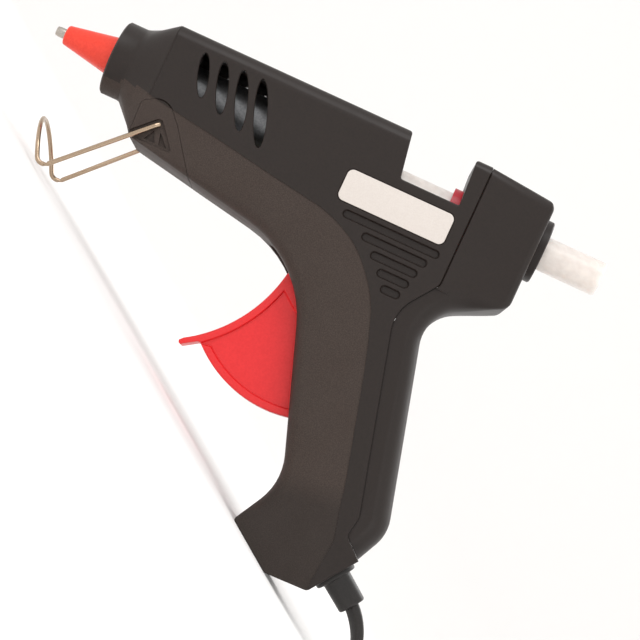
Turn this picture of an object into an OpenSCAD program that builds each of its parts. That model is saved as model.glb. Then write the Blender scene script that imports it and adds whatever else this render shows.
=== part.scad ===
// Mains glue gun on its fold-out wire stand.
//
// Most pieces are drawn in the gun frame: +X runs back along the barrel axis from
// the collar's front face, +Z is up from that axis and +Y is the gun's right side.
// place() turns that frame nose down, so that the foot of the handle lies on Z = 0
// with its middle at the origin, and the wire stand reaches the same surface.

/* [Body] */
// Width across the side shells
body_w = 33; // [29:0.5:40]
// Plastic wall
wall = 2.2; // [1.8:0.1:2.6]
// Barrel length, from the collar's front face to the window
barrel_l = 96.5; // [93:0.5:118]
// Barrel top above the stick axis
barrel_top = 16.3; // [15.5:0.1:20]
// Radius along the barrel's top edges
top_edge_r = 5; // [3.5:0.5:7]
// Window length between barrel and rear block
window_l = 22; // [21.5:0.5:30]
// Rear block length
block_l = 28.4; // [24:0.2:36]
// Handle length, below the line of the grip's root
handle_l = 78; // [72:1:95]
// Length of the flat foot under the handle
foot_l = 19; // [15:0.5:22]
// Nose-down angle of the barrel when the gun stands
nose_down = 35.5; // [32:0.5:39]

/* [Nose] */
// Collar diameter
collar_d = 24.6; // [23.6:0.2:28]
// Collar length
collar_l = 6.5; // [5.5:0.1:9]
// Metal tip diameter
tip_d = 3.3; // [2.6:0.1:3.6]
// Length of bare metal ahead of the sleeve
tip_l = 3.2; // [2:0.1:6]
// Length of the silicone sleeve ahead of the collar
sleeve_l = 17.5; // [15:0.5:26]
// Sleeve diameter at the collar
sleeve_d = 13; // [12.6:0.2:14.4]
// Sleeve diameter at its front end
sleeve_tip_d = 6.5; // [6:0.1:8]

/* [Heater] */
// Outer diameter of the melt chamber
chamber_d = 17; // [16:0.2:18]
// Length of the melt chamber
chamber_l = 55; // [52:1:57]
// Thickness of the ceramic heater
ptc_t = 2.2; // [1.8:0.1:2.4]
// Length of the ceramic heater
ptc_l = 24; // [18:1:28]

/* [Feed] */
// Glue stick diameter
stick_d = 11.2; // [10.6:0.1:11.4]
// Stick left standing out behind the guide ring
stick_out = 20.3; // [8:0.5:120]
// Guide ring diameter
ring_d = 20.8; // [19:0.2:26]
// Guide ring length
ring_l = 2.8; // [2:0.1:8]
// Stroke of the feed
stroke = 16; // [10:0.5:16]
// Drive pin diameter
drive_pin_d = 3; // [2.4:0.1:3.4]

/* [Trigger] */
// Trigger thickness
trigger_w = 14; // [11:0.5:14.5]
// Radius from the trigger pin to the bottom arc
trigger_r = 39.2; // [37:0.2:41]
// Trigger pin diameter
trigger_pin_d = 4; // [3:0.1:5]

/* [Stand] */
// Stand wire diameter
wire_d = 1.5; // [1.2:0.1:2]
// Forward lean of the stand's legs from upright
leg_lean = 9.2; // [6:0.2:12]
// Spread of the legs at the foot
foot_spread = 39.4; // [37:0.2:48]
// Rise of the foot's loop above the surface, in degrees
loop_rise = 30; // [20:1:45]

/* [Lead] */
// Width of the flat twin lead
cord_w = 5.4; // [4.8:0.1:5.8]
// Thickness of the flat twin lead
cord_t = 3.3; // [2.8:0.1:3.6]
// Boot diameter
boot_d = 9.3; // [8.6:0.1:10.4]
// Boot length behind its flange
boot_l = 10.7; // [8:0.1:16]
// Diameter of the coil at the middle of its turns
coil_d = 54; // [52:1:62]

/* [Hidden] */
$fn = 48;

black = [0.20, 0.18, 0.17];
red = [0.90, 0.24, 0.20];
steel = [0.72, 0.70, 0.68];
cream = [0.90, 0.88, 0.84];

eps = 0.01;
gap = 0.3;          // between pieces that move past each other
running = 0.05;     // radial clearance of a pin in its bore
seat = 0.1;         // clearance of pieces that are assembled together

half_w = body_w / 2;
inner_w = half_w - wall;
collar_r = collar_d / 2;
stick_r = stick_d / 2;
chamber_r = chamber_d / 2;
wire_r = wire_d / 2;

// Places along the barrel, measured from the collar's front face
be = barrel_l;
flare_end = 17;
block_front = be + window_l;
seam_u = block_front + 5.8;
block_rear = block_front + block_l;
ring_rear = block_rear + ring_l;
sill = 0.6;

// The handle leaves the body at the grip's root and keeps its own direction
grip_dir = [0.27, -0.963];
grip = [be, 0] + (handle_l - 78) * grip_dir;
foot_dir = [cos(nose_down), -sin(nose_down)];
foot_up = [sin(nose_down), cos(nose_down)];
foot_front = grip + [0, -117];
foot_rear = foot_front + foot_l * foot_dir;
foot_mid = foot_front + foot_l / 2 * foot_dir;
// The lead leaves level, square to its own facet
gland = grip + [35.5, -119.7];
gland_low = gland - 9.7 * foot_up;
gland_top = gland + 8.4 * foot_up;

// Corners of the whole body, clockwise from the barrel's front: [x, z, corner radius]
function body_corners(front) = [
    [front, barrel_top, 1],
    [be, barrel_top, 2],
    [be + 2.8, sill, 1],
    [block_front + 1, sill, 0.8],
    [block_front, barrel_top, 1.2],
    [seam_u - 0.3, barrel_top, 0],
    [seam_u - 0.1, barrel_top - 0.4, 0],
    [block_rear, barrel_top - 2.3, 2.5],
    [block_rear, -22.2, 3],
    [be + 27.4, -34, 12],
    [grip.x + 45.8, grip.y - 101.5, 13],
    [gland_top.x, gland_top.y, 1],
    [gland_low.x, gland_low.y, 2],
    [foot_rear.x, foot_rear.y, 1],
    [foot_front.x, foot_front.y, 1.2],
    [grip.x + 9, grip.y - 100.5, 19],
    [be - 14.6, -34.8, 36],
    [38.5, -26.9, 0.4],
    [37.2, -26, 0.3],
    [front, -22.8, 1]
];

// Everything behind the side shells' rear seam
rear_corners = [
    [seam_u, 40, 0],
    [block_rear + 40, 40, 0],
    [block_rear + 40, gland_top.y + 0.3, 0],
    [gland_top.x, gland_top.y + 0.3, 0],
    [grip.x + 34.1, grip.y - 107, 2],
    [grip.x + 35.2, grip.y - 100.5, 4],
    [be + 18.3, -37.7, 13],
    [seam_u, -24.6, 3]
];

// Stand block: a panel under the nose that carries the wire stand
pivot = [23.6, -15.9];
block_corners = [
    [15.6, -10.9, 2],
    [22.8, -6.6, 6],
    [29.2, -13.4, 5],
    [39.3, -27.2, 0],
    [39.3, -40, 0],
    [0, -40, 0],
    [16.2, -22.3, 0]
];

// Trigger and its fork, about the trigger pin
tp = [be - 6.1, -43];
pin_drop = 6;                    // drive pins below the stick axis
fork_l = -tp.y - pin_drop;       // height of the drive pins above the trigger pin
squeeze = 2 * atan(stroke / 2 / fork_l);
pin_u = tp.x + stroke / 2;       // drive pins with the trigger released
fork_y = 9.6;                    // inner face of each fork arm
fork_t = 2;
hub_r = 3.8;
face_r = 47.6;                   // radius of the finger face
rim = 2.5;                       // raised rim round the trigger's side panel

// Feed carriage
car_r = 7.4;
car_front = block_front - 2.2;
car_rear = car_front + 11;
rail_y = [7, 9.2];
rail_z = [-pin_drop - 2.5, -pin_drop + 2.5];
base_z = [-9.2, -stick_r - 0.6];
lug_u = pin_u - 2.4;
spring_z = -13;
spring_front = be - 26.5;
spring_rear = lug_u - 3;
spring_r = 3.5;
lever_at = [car_front + 6, -10.6];

// Heater stack under the melt chamber
chamber_u = [5, 5 + chamber_l];
heat_u = [18, 18 + ptc_l + 5];
slot_y = 7.2;
slot_top = -chamber_r - 1.1;
film_t = 0.25;
plate_t = 0.4;
stack_t = ptc_t + 2 * (film_t + plate_t);
wedge_t = 1.1;
slot_low = slot_top - stack_t - wedge_t - 2 * seat;
tab_u = heat_u[1] + 3;
crimp_l = 7;
crimp_r = 1.5;
stick_front = 30;

// Screws: places of the shells' bosses
boss_r = 3.2;
screw_r = 1.3;
head_r = 2.4;
head_sink = 2.6;
boss_v = chamber_r + boss_r + 0.5;
bosses = [
    [21.5, boss_v], [chamber_u[1] + 16, boss_v], [be - 30.5, -24.5], [be + 19.5, -30],
    grip + [13.5, -104], grip + [11.5, -118]
];
clamp_t = 2.4;
clamp_at = gland + 9 * [-foot_dir.x, -foot_dir.y];
clamp_holes = [clamp_at + 5 * foot_up, clamp_at - 5 * foot_up];

// Stand: the legs drop from the pivot to the surface that the foot rests on
pivot_h = (pivot - foot_mid) * foot_up;
leg_drop = pivot_h - wire_r;
leg_y = half_w + 0.25;
loop_r = foot_spread / 2;
pivot_row = [(pivot - foot_mid) * foot_dir, pivot_h];
foot_row = [pivot_row.x - leg_drop * tan(leg_lean), wire_r];
recess = 1;

// Free lead: its route in the row frame, from inside the handle to the coil
gland_row = [(gland - foot_mid) * foot_dir, (gland - foot_mid) * foot_up];
coil_mid = [100, 12];
coil_r = coil_d / 2;
coil_low = 0.5;                  // a tie's thickness under the coil
coil_w = 3 * cord_t + 0.5;       // three turns side by side
coil_h = 2 * cord_w + 0.2;       // two turns one on the other, edge up
coil_in = [98, coil_mid.y - coil_r - cord_t - 0.1];

// ---- Geometry helpers ----

function unit(a) = a / norm(a);
function cross2(a, b) = a.x * b.y - a.y * b.x;
function flat(lists) = [for (l = lists) each l];
function lerp(a, b, t) = a + (b - a) * t;

// Points of the arc that rounds corner b between neighbours a and c
function corner_arc(a, b, c, r) =
    let (
        da = unit(a - b), dc = unit(c - b),
        half = acos(da * dc) / 2,
        mid = b + unit(da + dc) * r / sin(half),
        start = b + da * r / tan(half) - mid,
        turn = (180 - 2 * half) * sign(cross2(-da, dc)),
        n = max(2, ceil(abs(turn) / 9)),
        a0 = atan2(start.y, start.x)
    )
    [for (i = [0 : n]) mid + r * [cos(a0 + turn * i / n), sin(a0 + turn * i / n)]];

// A closed outline from corners [x, y, radius]
function rounded(corners) = flat([
    for (i = [0 : len(corners) - 1])
        let (
            n = len(corners),
            a = corners[(i + n - 1) % n], b = corners[i], c = corners[(i + 1) % n]
        )
        b[2] > 0 ? corner_arc([a.x, a.y], [b.x, b.y], [c.x, c.y], b[2]) : [[b.x, b.y]]
]);

// The same corners moved in by w, for an outline that runs clockwise
function inset(corners, w) = [
    for (i = [0 : len(corners) - 1])
        let (
            n = len(corners),
            a = corners[(i + n - 1) % n], b = corners[i], c = corners[(i + 1) % n],
            d1 = unit([b.x - a.x, b.y - a.y]), d2 = unit([c.x - b.x, c.y - b.y]),
            n1 = [d1.y, -d1.x], n2 = [d2.y, -d2.x],
            p = [b.x, b.y] + w * (n1 + n2) / (1 + n1 * n2)
        )
        [p.x, p.y, cross2(d1, d2) < 0 ? max(b[2] - w, 0) : b[2] + w]
];

// Extrudes an outline drawn in X and Z across the gun, from y0 to y1
module across(y0, y1) {
    translate([0, y1, 0]) rotate([90, 0, 0]) linear_extrude(y1 - y0) children();
}

// Extrudes an outline drawn in Y and Z along the barrel, from u0 to u1
module along(u0, u1) {
    translate([u0, 0, 0]) rotate([90, 0, 90]) linear_extrude(u1 - u0) children();
}

// Round bar on the barrel axis, or on a line parallel to it at [y, z]
module bar(u0, u1, r1, r2 = undef, at = [0, 0]) {
    translate([u0, at.x, at.y]) rotate([0, 90, 0])
        cylinder(h = u1 - u0, r1 = r1, r2 = is_undef(r2) ? r1 : r2);
}

// Round pin across the gun at p = [x, z], from y0 to y1
module pin(p, y0, y1, r) {
    translate([p.x, y0, p.y]) rotate([-90, 0, 0]) cylinder(h = y1 - y0, r = r);
}

// Box between two corners
module block(a, b) {
    translate(a) cube(b - a);
}

// Puts a piece drawn in the gun frame on the surface it stands on
module place() {
    rotate([0, -nose_down, 0]) translate([-foot_mid.x, 0, -foot_mid.y]) children();
}

// A rod along a route: one polyhedron, a ring of points at each route point. Its section
// is r wide to the side and r2 the other way
function tangent(p, i) = unit(p[min(i + 1, len(p) - 1)] - p[max(i - 1, 0)]);
function ring_frames(p, i, up) =
    let (t = tangent(p, i), side = unit(cross(t, up)))
    i == len(p) - 1 ? [[t, side]] : concat([[t, side]], ring_frames(p, i + 1, cross(side, t)));
module rod(route, r, sides, up = [0, 0, 1], r2 = undef) {
    frames = ring_frames(route, 0, up);
    n = len(route);
    points = [
        for (i = [0 : n - 1], k = [0 : sides - 1])
            let (a = 360 * k / sides, t = frames[i][0], s = frames[i][1])
            route[i] + r * cos(a) * s + (is_undef(r2) ? r : r2) * sin(a) * cross(s, t)
    ];
    walls = [
        for (i = [0 : n - 2], k = [0 : sides - 1])
            let (a = i * sides + k, b = i * sides + (k + 1) % sides)
            [a, b, b + sides, a + sides]
    ];
    caps = [
        [for (k = [sides - 1 : -1 : 0]) k],
        [for (k = [0 : sides - 1]) (n - 1) * sides + k]
    ];
    polyhedron(points, concat(walls, caps), convexity = 10);
}

// A smooth route through hand-set points: straight stretches with rounded corners
function bend(a, b, c, r, n) =
    let (
        da = unit(a - b), dc = unit(c - b), half = acos(da * dc) / 2,
        t = min(r / tan(half), norm(a - b) * 0.49, norm(c - b) * 0.49),
        rr = t * tan(half), mid = b + unit(da + dc) * rr / sin(half),
        e1 = unit(b + da * t - mid), axis = unit(cross(da, dc)), e2 = cross(axis, e1),
        turn = 180 - 2 * half, way = sign((b + dc * t - mid) * e2)
    )
    [for (i = [0 : n]) mid + rr * (cos(turn * i / n) * e1 + way * sin(turn * i / n) * e2)];
function smooth_route(p, r, n) = concat(
    [p[0]],
    flat([for (i = [1 : len(p) - 2]) bend(p[i - 1], p[i], p[i + 1], r, n)]),
    [p[len(p) - 1]]
);

// Coil spring along the barrel: wire diameter d, coil radius r, centred on [y, z]
module coil_spring(u0, u1, r, d, turns, at, steps = 12, sides = 6) {
    n = turns * steps;
    pitch_l = u1 - u0 - d;
    route = [
        for (i = [0 : n])
            [u0 + d / 2 + pitch_l * i / n, at.x + (r - d / 2) * cos(360 * i / steps),
             at.y + (r - d / 2) * sin(360 * i / steps)]
    ];
    rod(route, d / 2, sides, up = [1, 0, 0]);
}

// ---- Housing ----

// Cross-section of the body with rounded top edges
module body_section(w, top, r) {
    intersection() {
        translate([-w, -150]) square([2 * w, 150 + top]);
        union() {
            translate([-w, -150]) square([2 * w, 150 + top - r]);
            translate([-(w - r), -150]) square([2 * (w - r), 150 + top]);
            for (s = [-1, 1]) translate([s * (w - r), top - r]) circle(r);
        }
    }
}

module flare_plate(u, w, top, low) {
    block([u, -w, low], [u + 0.5, w, top]);
}

module body_outside() {
    intersection() {
        across(-half_w, half_w) polygon(rounded(body_corners(flare_end)));
        along(flare_end - 1, block_rear + 5) body_section(half_w, barrel_top, top_edge_r);
    }
    bar(0, collar_l, collar_r);
    bar(block_rear - eps, ring_rear, ring_d / 2);
    hull() {
        bar(collar_l - 0.5, collar_l, collar_r, $fn = 32);
        flare_plate(flare_end, half_w - 1, barrel_top - 1, -22.3);
    }
}

module body_inside() {
    intersection() {
        across(-inner_w, inner_w) polygon(rounded(inset(body_corners(flare_end - wall - 1), wall)));
        along(flare_end - 1, block_rear + 5)
            body_section(inner_w, barrel_top - wall, top_edge_r - wall);
    }
    bar(2.5, collar_l + 0.5, collar_r - wall);
    hull() {
        bar(collar_l - 0.5, collar_l, collar_r - wall, $fn = 32);
        flare_plate(flare_end - 0.4, inner_w - 1, barrel_top - wall - 1, -22.3 + wall);
    }
    // way for the nozzle and its sleeve
    bar(-1, 3, sleeve_d / 2 + seat);
    // way for the stick and, in the window, the carriage that rides on it
    bar(be - 6, ring_rear + 1, stick_r + 0.5);
    bar(be + 1.2, car_rear + 1.5, car_r + 0.5);
}

// Slanted vent slots in the barrel's side
module vents() {
    for (i = [0 : 3], s = [-1, 1]) {
        slot_l = 11.4 + 2.3 * i;
        translate([29 + 6.6 * i, s * half_w, 9]) rotate([0, -18.5 - 0.7 * i, 0])
            rotate([180, 0, 0]) {
                pin([0, 0], -wall - 1, wall + 1, 1.5);
                pin([0, slot_l], -wall - 1, wall + 1, 1.1);
                across(-wall - 1, wall + 1)
                    polygon([[-1.5, 0], [1.5, 0], [1.1, slot_l], [-1.1, slot_l]]);
            }
    }
}

// Shallow finger grooves behind the trigger, both sides: [start, end] along the barrel
groove_ends = [[-9, 23.7], [-0.7, 21.3], [4.2, 19.9], [8.3, 18.9], [11.4, 17.8]];
module grip_grooves() {
    for (i = [0 : 4], s = [-1, 1]) {
        z = -16.4 - 4.15 * i;
        u0 = be + groove_ends[i][0] + 1.25;
        u1 = be + groove_ends[i][1] - 1.25;
        translate([0, s * half_w, 0]) {
            pin([u0, z], -1, 1, 1.25);
            pin([u1, z], -1, 1, 1.25);
            block([u0, -1, z - 1.25], [u1, 1, z + 1.25]);
        }
    }
}

// Slot in the grip's front for the trigger
module trigger_slot() {
    w = trigger_w / 2 + 0.5;
    intersection() {
        across(-w, w) polygon([
            tp + [-40, 12], tp + [-8, 8], tp + [4, -2], tp + [20, -36], tp + [10, -41],
            tp + [-40, -41]
        ]);
        translate([tp.x, 0, tp.y]) rotate([90, 0, 0])
            cylinder(r = trigger_r + 1, h = 60, center = true);
    }
}

// Ribs that hold the melt chamber, seat the return spring and guide the carriage
module inner_ribs() {
    for (u = [11, 57]) difference() {
        block([u, -inner_w - eps, -8], [u + 2, inner_w + eps, 9]);
        bar(u - 1, u + 3, chamber_r + 0.2);
        block([u - 1, -3, 0], [u + 3, 3, 12]);
    }
    block([spring_front - 2, -inner_w - eps, -17], [spring_front, inner_w + eps, -9]);
    for (s = [-1, 1])
        block([be + 8, s > 0 ? 7.5 : -inner_w - eps, -11.2],
              [seam_u - 0.5, s > 0 ? inner_w + eps : -7.5, base_z[0] - gap]);
}

module housing_shell() {
    difference() {
        body_outside();
        body_inside();
        vents();
        grip_grooves();
        trigger_slot();
        across(-half_w - 1, half_w + 1) polygon(rounded(rear_corners));
        across(-half_w - 1, half_w + 1) polygon(rounded(block_corners));
        // way for the cord and its boot
        lead_way();
    }
}

module lead_way() {
    translate([gland.x, 0, gland.y]) rotate([0, 90 + nose_down, 0])
        cylinder(r = boot_neck_r + seat, h = 30, center = true);
}

module left_housing() {
    color(black) place() difference() {
        union() {
            intersection() {
                union() {
                    housing_shell();
                    inner_ribs();
                }
                block([-10, -half_w - 1, -150], [block_rear + 10, 0, 40]);
            }
            for (b = bosses) pin(b, -inner_w + 1, 0, boss_r);
            intersection() {
                union() for (b = bosses) pin(b, -inner_w - 0.5, -inner_w + 1.5, boss_r);
                body_outside();
            }
            pin(tp, -inner_w - 0.5, -12, trigger_pin_d / 2 + 2);
            for (h = clamp_holes) pin(h, -inner_w - 0.5, 2.2, 2.3);
            translate([clamp_at.x, 0, clamp_at.y]) rotate([0, nose_down, 0])
                block([-3, -inner_w - 0.5, -2.7], [3, -cord_w / 2 - 0.1, 2.7]);
        }
        for (b = bosses) pin(b, -9, 1, screw_r + running);
        for (h = clamp_holes) pin(h, -8, 3, 1.2 + running);
        pin(tp, -inner_w - 0.8, -10, trigger_pin_d / 2 + running);
    }
}

module right_housing() {
    color(black) place() difference() {
        union() {
            intersection() {
                union() {
                    housing_shell();
                    inner_ribs();
                }
                block([-10, 0, -150], [block_rear + 10, half_w + 1, 40]);
            }
            intersection() {
                union() for (b = bosses) pin(b, 0, half_w - 0.5, boss_r);
                body_outside();
            }
            pin(tp, 12, inner_w + 0.5, trigger_pin_d / 2 + 2);
        }
        for (b = bosses) {
            pin(b, -1, half_w + 1, screw_r + 0.3);
            pin(b, half_w - head_sink, half_w + 1, head_r + 0.2);
        }
        pin(tp, 10, inner_w + 0.8, trigger_pin_d / 2 + running);
    }
}

module rear_housing() {
    color(black) place() difference() {
        intersection() {
            difference() {
                body_outside();
                body_inside();
            }
            across(-half_w - 1, half_w + 1) polygon(rounded(rear_corners));
            union() {
                block([0, -half_w - 1, -23], [block_rear + 40, half_w + 1, 40]);
                block([0, -half_w + 2, -150], [block_rear + 40, half_w - 2, 40]);
            }
        }
        lead_way();
    }
}

// ---- Stand ----

module stand_block() {
    color(black) place() difference() {
        union() {
            intersection() {
                difference() {
                    body_outside();
                    body_inside();
                }
                across(-half_w - 1, half_w + 1) polygon(rounded(block_corners));
            }
            for (s = [-1, 1])
                pin(pivot, s > 0 ? half_w - 6 : -inner_w - 0.5, s > 0 ? inner_w + 0.5 : -half_w + 6, 2.6);
        }
        // bores for the wire's ends and the recess that each leg swings in
        pin(pivot, -half_w - 1, -half_w + 7, wire_r + running);
        pin(pivot, half_w - 7, half_w + 1, wire_r + running);
        for (s = [-1, 1]) translate([pivot.x, s * half_w, pivot.y]) {
            pin([0, 0], -recess, recess, wire_r + 1.1);
            across(-recess, recess) polygon([
                [-1.3, 1.3], [1.4, 1.4], [7.4, -6.6], [-8.3, -6.6]
            ]);
        }
    }
}

function leg_foot(s) = [foot_row.x, s * loop_r, foot_row.y];
function leg_top(s) = [pivot_row.x, s * leg_y, pivot_row.y];
loop_dir = [-cos(loop_rise), 0, sin(loop_rise)];
loop_route = [for (i = [1 : 15]) let (a = 12 * i)
    [foot_row.x, 0, foot_row.y] + loop_r * ([0, -cos(a), 0] + sin(a) * 0.93 * loop_dir)];
foot_bend = 5;

end_bend = leg_y - half_w + recess - running;
wire_in = 5.6;                   // length of the ends turned into the stand block
function leg_end(s) = leg_top(s) - [0, s * wire_in, 0];

module wire_stand() {
    p = concat(
        [leg_end(-1)],
        bend(leg_end(-1), leg_top(-1), leg_foot(-1), end_bend, 4),
        bend(leg_top(-1), leg_foot(-1), loop_route[1], foot_bend, 6),
        [for (i = [3 : 11]) loop_route[i]],
        bend(loop_route[13], leg_foot(1), leg_top(1), foot_bend, 6),
        bend(leg_foot(1), leg_top(1), leg_end(1), end_bend, 4),
        [leg_end(1)]
    );
    color(steel) rod(p, wire_r, 12, up = [1, 0, 0]);
}

// ---- Nozzle and heater ----

nose_r = sleeve_d / 2;
tip_end = -sleeve_l - tip_l;

module nozzle() {
    color(steel) place() difference() {
        union() {
            bar(tip_end, -sleeve_l + 0.5, tip_d / 2);
            bar(-sleeve_l + 0.4, 0, tip_d / 2 + 0.3, nose_r - 2.6);
            bar(0 - eps, 1.2, nose_r - 2.6);
            along(1.2 - eps, chamber_u[0]) circle(r = 5, $fn = 6);
            bar(chamber_u[0] - eps, chamber_u[0] + 5, 3.9);
        }
        bar(tip_end - 1, chamber_u[0] + 6, 0.8);
        bar(-10, chamber_u[0] + 6, 1.9);
        bar(-11.5, -10 + eps, 0.8, 1.9);
    }
}

module nozzle_sleeve() {
    color(red) place() difference() {
        union() {
            bar(-sleeve_l, -sleeve_l + 1, sleeve_tip_d / 2 - 0.6, sleeve_tip_d / 2);
            bar(-sleeve_l + 1 - eps, eps, sleeve_tip_d / 2, nose_r);
            bar(0, 3, nose_r);
            bar(2.8, 4.8, nose_r + 2.2);
        }
        bar(-sleeve_l - 1, -sleeve_l + 0.5, tip_d / 2 + seat);
        bar(-sleeve_l + 0.3, eps, tip_d / 2 + 0.3 + seat, nose_r - 2.6 + seat);
        bar(0, 1.3, nose_r - 2.6 + seat);
        bar(1.1, 6, 5 + seat);
    }
}

module nozzle_ball() {
    color(steel) place() translate([-8.9, 0, 0]) sphere(1.5, $fn = 32);
}

module nozzle_spring() {
    color(steel) place() coil_spring(-7.3, chamber_u[0] + 4.8, 1.75, 0.4, 9, [0, 0], 10, 6);
}

module melt_chamber() {
    color([0.78, 0.78, 0.80]) place() difference() {
        union() {
            bar(chamber_u[0] + seat, chamber_u[1], chamber_r);
            bar(chamber_u[1] - eps, chamber_u[1] + 8, stick_r + 1.5);
            block([heat_u[0], -slot_y - 1.8, slot_low - 1.8], [heat_u[1], slot_y + 1.8, -chamber_r + 2.5]);
        }
        bar(13, chamber_u[1] + 9, stick_r + 0.35);
        bar(9, 13 + eps, 2.1, stick_r + 0.35);
        bar(chamber_u[0] - 1, chamber_u[0] + 5.2, 3.9 + running);
        bar(9, 11, 2.1);
        block([heat_u[0] - 1, -slot_y, slot_low], [heat_u[1] + 1, slot_y, slot_top]);
    }
}

// A layer of the heater stack: depth below the slot's roof, thickness, length and half width
module layer(depth, t, u0, u1, y) {
    block([u0, -y, slot_top - seat - depth - t], [u1, y, slot_top - seat - depth]);
}

module ptc_heater() {
    color([0.55, 0.53, 0.50]) place()
        layer(film_t + plate_t, ptc_t, heat_u[0] + 2.5, heat_u[0] + 2.5 + ptc_l, slot_y - 1.2);
}

module electrode(depth, side) {
    color([0.80, 0.70, 0.45]) place() {
        layer(depth, plate_t, heat_u[0] + 1.5, heat_u[1] - 1, slot_y - 0.8);
        translate([0, side * 3.5, 0]) layer(depth, plate_t, heat_u[1] - 1 - eps, tab_u + 2, 1.6);
    }
}

module upper_electrode() {
    electrode(film_t, 1);
}

module lower_electrode() {
    electrode(film_t + plate_t + ptc_t, -1);
}

module heater_film() {
    color([0.85, 0.55, 0.15]) place() difference() {
        layer(0, stack_t, heat_u[0] + 0.5, heat_u[1] + 1, slot_y - 0.3);
        layer(film_t, stack_t - 2 * film_t, heat_u[0], heat_u[1] + 2, slot_y - 0.3 - film_t);
    }
}

module heater_wedge() {
    color(steel) place() difference() {
        layer(stack_t, wedge_t, heat_u[0] - 1, heat_u[1] - 1, slot_y - 0.4);
        bar(0, 60, 0.6, at = [0, slot_low - 0.2]);
    }
}

module inlet_sleeve() {
    color([0.85, 0.30, 0.22]) place() difference() {
        bar(chamber_u[1] + seat, chamber_u[1] + 12, stick_r + 2.9);
        bar(chamber_u[1] - 1, chamber_u[1] + 8, stick_r + 1.5 + running);
        bar(chamber_u[1] + 8 - eps, chamber_u[1] + 13, stick_r + 0.35);
    }
}

module inlet_clamp() {
    color(steel) place() difference() {
        union() {
            bar(chamber_u[1] + 2.5, chamber_u[1] + 6, stick_r + 3.6);
            block([chamber_u[1] + 2.5, -1.5, stick_r + 2], [chamber_u[1] + 6, 1.5, stick_r + 5.4]);
        }
        bar(chamber_u[1], chamber_u[1] + 9, stick_r + 2.9 + running);
    }
}

// ---- Wires inside ----

crimp_u = tab_u + 2;
function crimp_z(s) = slot_top - seat - film_t - plate_t / 2 - (s < 0 ? plate_t + ptc_t : 0);

module crimp_connectors() {
    color(steel) place() for (s = [-1, 1])
        bar(crimp_u, crimp_u + crimp_l, crimp_r, at = [s * 3.5, crimp_z(s)]);
}

// Route of one wire, from its crimp to the end of the lead's jacket: [x, y, z]
core_end = gland + 15 * [-foot_dir.x, -foot_dir.y];
function wire_route(s) = smooth_route([
    [crimp_u + crimp_l, s * 3.5, crimp_z(s)],
    [crimp_u + crimp_l + 4, s * 3.5, crimp_z(s)],
    [be - 31, s * 4.6, -19.3],
    [be - 20, s * 5, -21],
    [be - 4, s * 5, -26],
    [be + 8, s * 6, -31],
    [be + 14, s * 10.6, -44],
    [be + 16.5, s * 10.8, -60],
    [be + 21.5, s * 10.8, -80],
    [grip.x + 24.5, s * 8, grip.y - 98],
    [core_end.x - 2, s * 1.6, core_end.y + 2],
    [core_end.x, s * 1.1, core_end.y]
], 6, 3);

module live_wire() {
    color([0.45, 0.28, 0.16]) place() rod(wire_route(-1), 0.95, 8);
}

module neutral_wire() {
    color([0.25, 0.38, 0.75]) place() rod(wire_route(1), 0.95, 8);
}

// Woven sleeves over the crimps
module heat_sleeves() {
    color([0.92, 0.90, 0.84]) place() for (s = [-1, 1]) difference() {
        bar(crimp_u - 1, crimp_u + crimp_l + 3, crimp_r + 0.5, at = [s * 3.5, crimp_z(s)]);
        bar(crimp_u - 2, crimp_u + crimp_l + 4, crimp_r + seat, at = [s * 3.5, crimp_z(s)]);
    }
}

// ---- Feed ----

module glue_stick() {
    color([0.94, 0.93, 0.90, 0.8]) place() bar(stick_front, ring_rear + stick_out, stick_r);
}

module feed_carriage() {
    color(red) place() difference() {
        union() {
            bar(car_front, car_rear, car_r);
            block([car_front + 1, -rail_y[1], base_z[0]], [car_rear, rail_y[1], base_z[1]]);
            for (s = [-1, 1]) {
                block([lug_u - 3, s > 0 ? rail_y[0] : -rail_y[1], rail_z[0]],
                      [car_rear, s > 0 ? rail_y[1] : -rail_y[0], rail_z[1]]);
                pin([pin_u, -pin_drop], s > 0 ? rail_y[1] - eps : -12, s > 0 ? 12 : -rail_y[1] + eps,
                    drive_pin_d / 2);
                // lugs for the grip lever's pin
                block([lever_at.x - 2.5, s > 0 ? 2.2 : -4.4, lever_at.y - 2.2],
                      [lever_at.x + 2.5, s > 0 ? 4.4 : -2.2, base_z[0] + 1]);
            }
            // stay for the return spring between the rails' front ends
            block([lug_u - 3, -rail_y[1], spring_z - 4], [lug_u, rail_y[1], -stick_r - 0.8]);
            bar(lug_u - 6, lug_u - 3 + eps, spring_r - 1.2, at = [0, spring_z]);
        }
        bar(car_front - 1, car_rear + 1, stick_r + 0.4);
        block([lever_at.x - 3, -2.2, -20], [lever_at.x + 3, 2.2, -stick_r]);
        pin(lever_at, -6, 6, 1 + running);
    }
}

module grip_lever() {
    color([0.62, 0.62, 0.64]) place() difference() {
        union() {
            pin(lever_at, -1.9, 1.9, 2.2);
            across(-1.9, 1.9) polygon([
                lever_at + [-1.2, 0], lever_at + [-0.7, -stick_r - 0.4 - lever_at.y],
                lever_at + [0.5, -stick_r - 0.4 - lever_at.y], lever_at + [1.4, 0],
                lever_at + [1, -5], lever_at + [-1, -5]
            ]);
        }
        pin(lever_at, -3, 3, 1 + running);
    }
}

module grip_pin() {
    color(steel) place() pin(lever_at, -4.6, 4.6, 1);
}

module return_spring() {
    color(steel) place()
        coil_spring(spring_front, lug_u - 3, spring_r, 0.8, 8, [0, spring_z], 14, 6);
}

// ---- Trigger ----

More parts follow.
